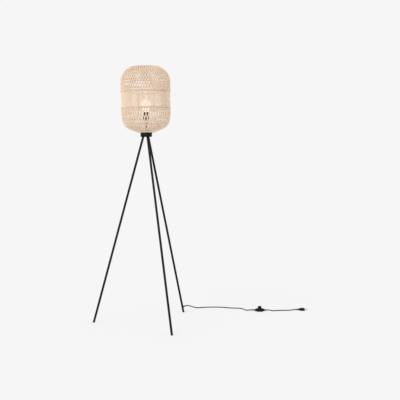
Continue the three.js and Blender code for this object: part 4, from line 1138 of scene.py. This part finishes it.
flange_bottom, top, _ = round_size("switch_button")
flange_top = flange_bottom + BUTTON_WALL
inner = BUTTON_RADIUS - BUTTON_WALL
button = spun([(inner, flange_bottom), (BUTTON_FLANGE, flange_bottom), (BUTTON_FLANGE, flange_top),
               (BUTTON_RADIUS, flange_top), (BUTTON_RADIUS, top - 1.6 * MM),
               (BUTTON_RADIUS - 0.6 * MM, top - 0.5 * MM), (BUTTON_RADIUS - 1.8 * MM, top),
               (BUTTON_RADIUS - 3 * MM, top - 0.1 * MM), (BUTTON_RADIUS - 3.6 * MM, top - 0.6 * MM),
               (BUTTON_RADIUS / 2, top - DISH), (0, top - DISH), (0, top - BUTTON_SKIN),
               (inner, top - BUTTON_SKIN)], 72)
finished("push_button", moved(button, Matrix.Translation(switch_place)), black_plastic, "switch_button",
         soft=0.15 * MM, body="button")

spring = finished("press_spring", from_frame("switch_spring"), zinc, "switch_spring", soft=0)
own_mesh(spring)

for name, side in (("in", -1), ("out", 1)):
    start = SWITCH_HALF_LENGTH - RELIEF_IN_BODY
    relief = ribbed_sleeve(start, start + RELIEF_LENGTH, RELIEF_RADIUS, RELIEF_TIP, RELIEF_RIBS)
    root = switch_place + Vector((0, 0, SWITCH_AXIS_HEIGHT))
    finished(f"switch_sleeve_{name}", moved(relief, along(Vector((side, 0, 0)), root)), black_rubber,
             f"switch_relief_{name}", soft=0.12 * MM)

# %% [markdown]
# The plug is one flat moulding that narrows to the rear, where its ribbed relief grips the cord. One
# outline face, extruded and bevelled all round, gives the body. Its pins are round with a small nose.

# %% Plug
PLUG_HEADING = math.radians(8)
PLUG_LENGTH = 35 * MM
PLUG_HALF_WIDTH = 17.6 * MM
PLUG_REAR_HALF = 6.5 * MM
PLUG_ROUND = 2.6 * MM
PLUG_CORNER = 4 * MM
PLUG_RELIEF = 20 * MM
PLUG_RELIEF_RADIUS = 5.2 * MM
PLUG_RELIEF_TIP = 3.6 * MM
PLUG_RIBS = 5
PLUG_STEPS = 10
RIM_ANGLE = math.radians(60)
PIN_RADIUS = 2 * MM
PIN_PLAY = 0.15 * MM
PIN_DEPTH = 7 * MM
PIN_REACH = 19 * MM
plug_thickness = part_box("plug_body")[1].z
pin_middle = (middle("plug_pin_1") + middle("plug_pin_2")) / 2
pin_spread = abs(middle("plug_pin_1").y - pin_middle.y) / math.cos(PLUG_HEADING)
plug_along = Vector((math.cos(PLUG_HEADING), math.sin(PLUG_HEADING), 0))
plug_centre = pin_middle - plug_along * (PLUG_LENGTH / 2 + (PIN_REACH - PIN_DEPTH) / 2)
plug_centre.z = 0
plug_matrix = Matrix.Translation(plug_centre) @ Matrix.Rotation(PLUG_HEADING, 4, "Z")
front, rear = PLUG_LENGTH / 2, -PLUG_LENGTH / 2
side_line = []
for i in range(PLUG_STEPS + 1):
    s = i / PLUG_STEPS
    flare = (3 * s * s - 2 * s**3) * (PLUG_HALF_WIDTH - PLUG_REAR_HALF)
    side_line.append((rear * (1 - s), PLUG_REAR_HALF + flare))
for i in range(PLUG_STEPS + 1):
    turn = math.pi / 2 * (1 - i / PLUG_STEPS)
    side_line.append((front + PLUG_CORNER * (math.cos(turn) - 1),
                      PLUG_HALF_WIDTH + PLUG_CORNER * (math.sin(turn) - 1)))
plug_outline = side_line + [(x, -y) for x, y in side_line[::-1]]
bm = bmesh.new()
face = bm.faces.new([bm.verts.new((x, y, 0)) for x, y in plug_outline])
risen = bmesh.ops.extrude_face_region(bm, geom=[face])["geom"]
bmesh.ops.translate(bm, verts=[v for v in risen if isinstance(v, bmesh.types.BMVert)],
                    vec=(0, 0, plug_thickness))
bmesh.ops.recalc_face_normals(bm, faces=bm.faces)
edges = [e for e in bm.edges
         if e.calc_face_angle(0) > RIM_ANGLE and abs(e.verts[0].co.z - e.verts[1].co.z) < MM]
bevelled(bm, edges, PLUG_ROUND, 5)
for side in (-1, 1):
    hole = cylinder(PIN_RADIUS + PIN_PLAY, front - PIN_DEPTH - 2 * PIN_PLAY, front + 3 * MM, 32)
    place = Matrix.Translation((0, side * pin_spread, plug_thickness / 2))
    bm = combined(bm, moved(hole, place @ ALONG_X))
relief = ribbed_sleeve(-4 * MM, PLUG_RELIEF, PLUG_RELIEF_RADIUS, PLUG_RELIEF_TIP, PLUG_RIBS)
place = Matrix.Translation((rear, 0, plug_thickness / 2))
bm = combined(bm, moved(relief, place @ ALONG_X.inverted()), "UNION")
finished("plug_moulding", moved(bm, plug_matrix), black_plastic, "plug_body", soft=0.2 * MM)
for i in (1, 2):
    pin = spun([(0, -PIN_DEPTH), (PIN_RADIUS, -PIN_DEPTH), (PIN_RADIUS, PIN_REACH - 1.6 * MM),
                (PIN_RADIUS * 0.8, PIN_REACH - 0.6 * MM), (PIN_RADIUS * 0.45, PIN_REACH), (0, PIN_REACH)], 40)
    place = middle(f"plug_pin_{i}") - plug_along * ((PIN_REACH - PIN_DEPTH) / 2)
    finished(f"contact_pin_{i}", moved(pin, along(plug_along, place)), nickel, f"plug_pin_{i}", soft=0.1 * MM)

# %% [markdown]
# What stays inside keeps the frame's own solids: nipples, cable, wires, contacts and screws. Each
# gets the finish of its own metal or plastic, in its material slots.

# %% Finishes for the inner pieces
INNER = {
    zinc: ["leg_nipple_left", "leg_nipple_front", "leg_nipple_back", "threaded_rod",
           "switch_screw_1", "switch_screw_2"],
    brass: ["centre_contact", "side_contact", "terminal_live", "terminal_neutral", "switch_contact_in",
            "switch_contact_out"],
    nickel: ["bulb_tip"],
    aluminium: ["bulb_led_module"],
    black_plastic: ["holder_insert", "bulb_insulator", "switch_block"],
    cord_jacket: ["cable_in_leg", "switch_lead_in", "switch_lead_out"],
    brown_wire: ["wire_live"],
    blue_wire: ["wire_neutral"],
}
for material, nodes in INNER.items():
    for node in nodes:
        for slot in frame["nodes"][node].material_slots:
            slot.material = material
print("inner pieces", sum(len(nodes) for nodes in INNER.values()))

# %% [markdown]


# %% [markdown]
# The light is a plain studio level: an even pale sky, a soft key from the left front and a weaker fill.
# The floor is white, so it sends light back up, and a small warm lamp at the bulb fills the shade from
# inside. Each light's share of the level on a floor that faces up is worked out for the floor's own look.

# %% Lights
WORLD_STRENGTH = 0.8
KEY = ((-0.62, -0.7, 0.6), 1.2, 50)
FILL = ((0.9, -0.6, 0.5), 0.15, 60)
BULB_GLOW_WATTS = 1.0
BULB_GLOW_COLOUR = (1.0, 0.96, 0.9)
BULB_GLOW_MARGIN = 1.5 * MM


def seen_directly(tree):
    """One for rays that the camera, a mirror or glass sends out, and zero for the rays that carry light."""
    rays = tree.nodes.new("ShaderNodeLightPath").outputs
    seen = arithmetic(tree, "MAXIMUM", rays["Is Camera Ray"], rays["Is Glossy Ray"])
    return arithmetic(tree, "MAXIMUM", seen, rays["Is Transmission Ray"])


def soft_sun(name, direction, strength, spread):
    """A broad far light, and the share of a white floor's level that it gives."""
    light = bpy.data.lights.new(name, "SUN")
    light.energy = strength
    light.angle = math.radians(spread)
    linked(name, light).rotation_euler = Vector(direction).to_track_quat("Z", "Y").to_euler()
    return strength * Vector(direction).normalized().z / math.pi


floor_level = WORLD_STRENGTH + soft_sun("key_light", *KEY) + soft_sun("fill_light", *FILL)
print("a white floor renders at", round(floor_level, 3))
bulb_light = bpy.data.lights.new("bulb_light", "POINT")
bulb_light.energy = BULB_GLOW_WATTS
bulb_light.color = BULB_GLOW_COLOUR
bulb_light.shadow_soft_size = bulb_radius + BULB_GLOW_MARGIN
inside_light = linked("bulb_light", bulb_light)
inside_light.location = (AXIS.x, AXIS.y, widest)
inside_light.visible_camera = False
inside_light.visible_glossy = False
inside_light.parent = frame["bodies"]["bulb"]
inside_light.matrix_parent_inverse = frame["bodies"]["bulb"].matrix_world.inverted()
bpy.context.scene.view_settings.view_transform = "Standard"

# %% [markdown]
# The backdrop is the floor and the world in one pale grey. Rays that only look see the floor as mostly
# even grey with a share of lit paper, which carries the lamp's shadow and fades out with distance. Rays
# that carry light meet a plain white floor.

# %% World and floor
BACKDROP = 0.922
FLOOR_SIDE = 60.0
FLOOR_WHITE = 0.92
SHADOW_SHARE = 0.3
SHADOW_NEAR = 0.9
SHADOW_FAR = 2.6
world = bpy.data.worlds.new("studio")
bpy.context.scene.world = world
world.use_nodes = True
tree = world.node_tree
background = tree.nodes["Background"]
background.inputs["Color"].default_value = (1, 1, 1, 1)
share = arithmetic(tree, "MULTIPLY", seen_directly(tree), BACKDROP - WORLD_STRENGTH)
tree.links.new(arithmetic(tree, "ADD", share, WORLD_STRENGTH), background.inputs["Strength"])

bm = bmesh.new()
bmesh.ops.create_grid(bm, x_segments=1, y_segments=1, size=FLOOR_SIDE / 2)
floor = linked("floor", meshed("floor", bm))
paper = bpy.data.materials.new("pale_floor")
paper.use_nodes = True
tree = paper.node_tree
tree.nodes.remove(tree.nodes["Principled BSDF"])
place = tree.nodes.new("ShaderNodeTexCoord").outputs["Object"]
away = add(tree, "ShaderNodeVectorMath", {0: place}, operation="LENGTH").outputs["Value"]
shadowed = add(tree, "ShaderNodeMapRange", {"Value": away, "From Min": SHADOW_NEAR, "From Max": SHADOW_FAR,
                                            "To Min": SHADOW_SHARE, "To Max": 0.0},
               interpolation_type="SMOOTHSTEP").outputs[0]
grey = (BACKDROP, BACKDROP, BACKDROP, 1)
even = add(tree, "ShaderNodeEmission", {"Color": grey, "Strength": 1.0}).outputs[0]
lit = add(tree, "ShaderNodeBsdfDiffuse", {"Color": (BACKDROP / floor_level,) * 3 + (1,)}).outputs[0]
look = add(tree, "ShaderNodeMixShader", {0: shadowed, 1: even, 2: lit}).outputs[0]
white = add(tree, "ShaderNodeBsdfDiffuse", {"Color": (FLOOR_WHITE,) * 3 + (1,)}).outputs[0]
chosen = add(tree, "ShaderNodeMixShader", {0: seen_directly(tree), 1: white, 2: look}).outputs[0]
tree.links.new(chosen, tree.nodes["Material Output"].inputs["Surface"])
floor.data.materials.append(paper)
print("floor", FLOOR_SIDE, "m wide, its backdrop grey", BACKDROP)
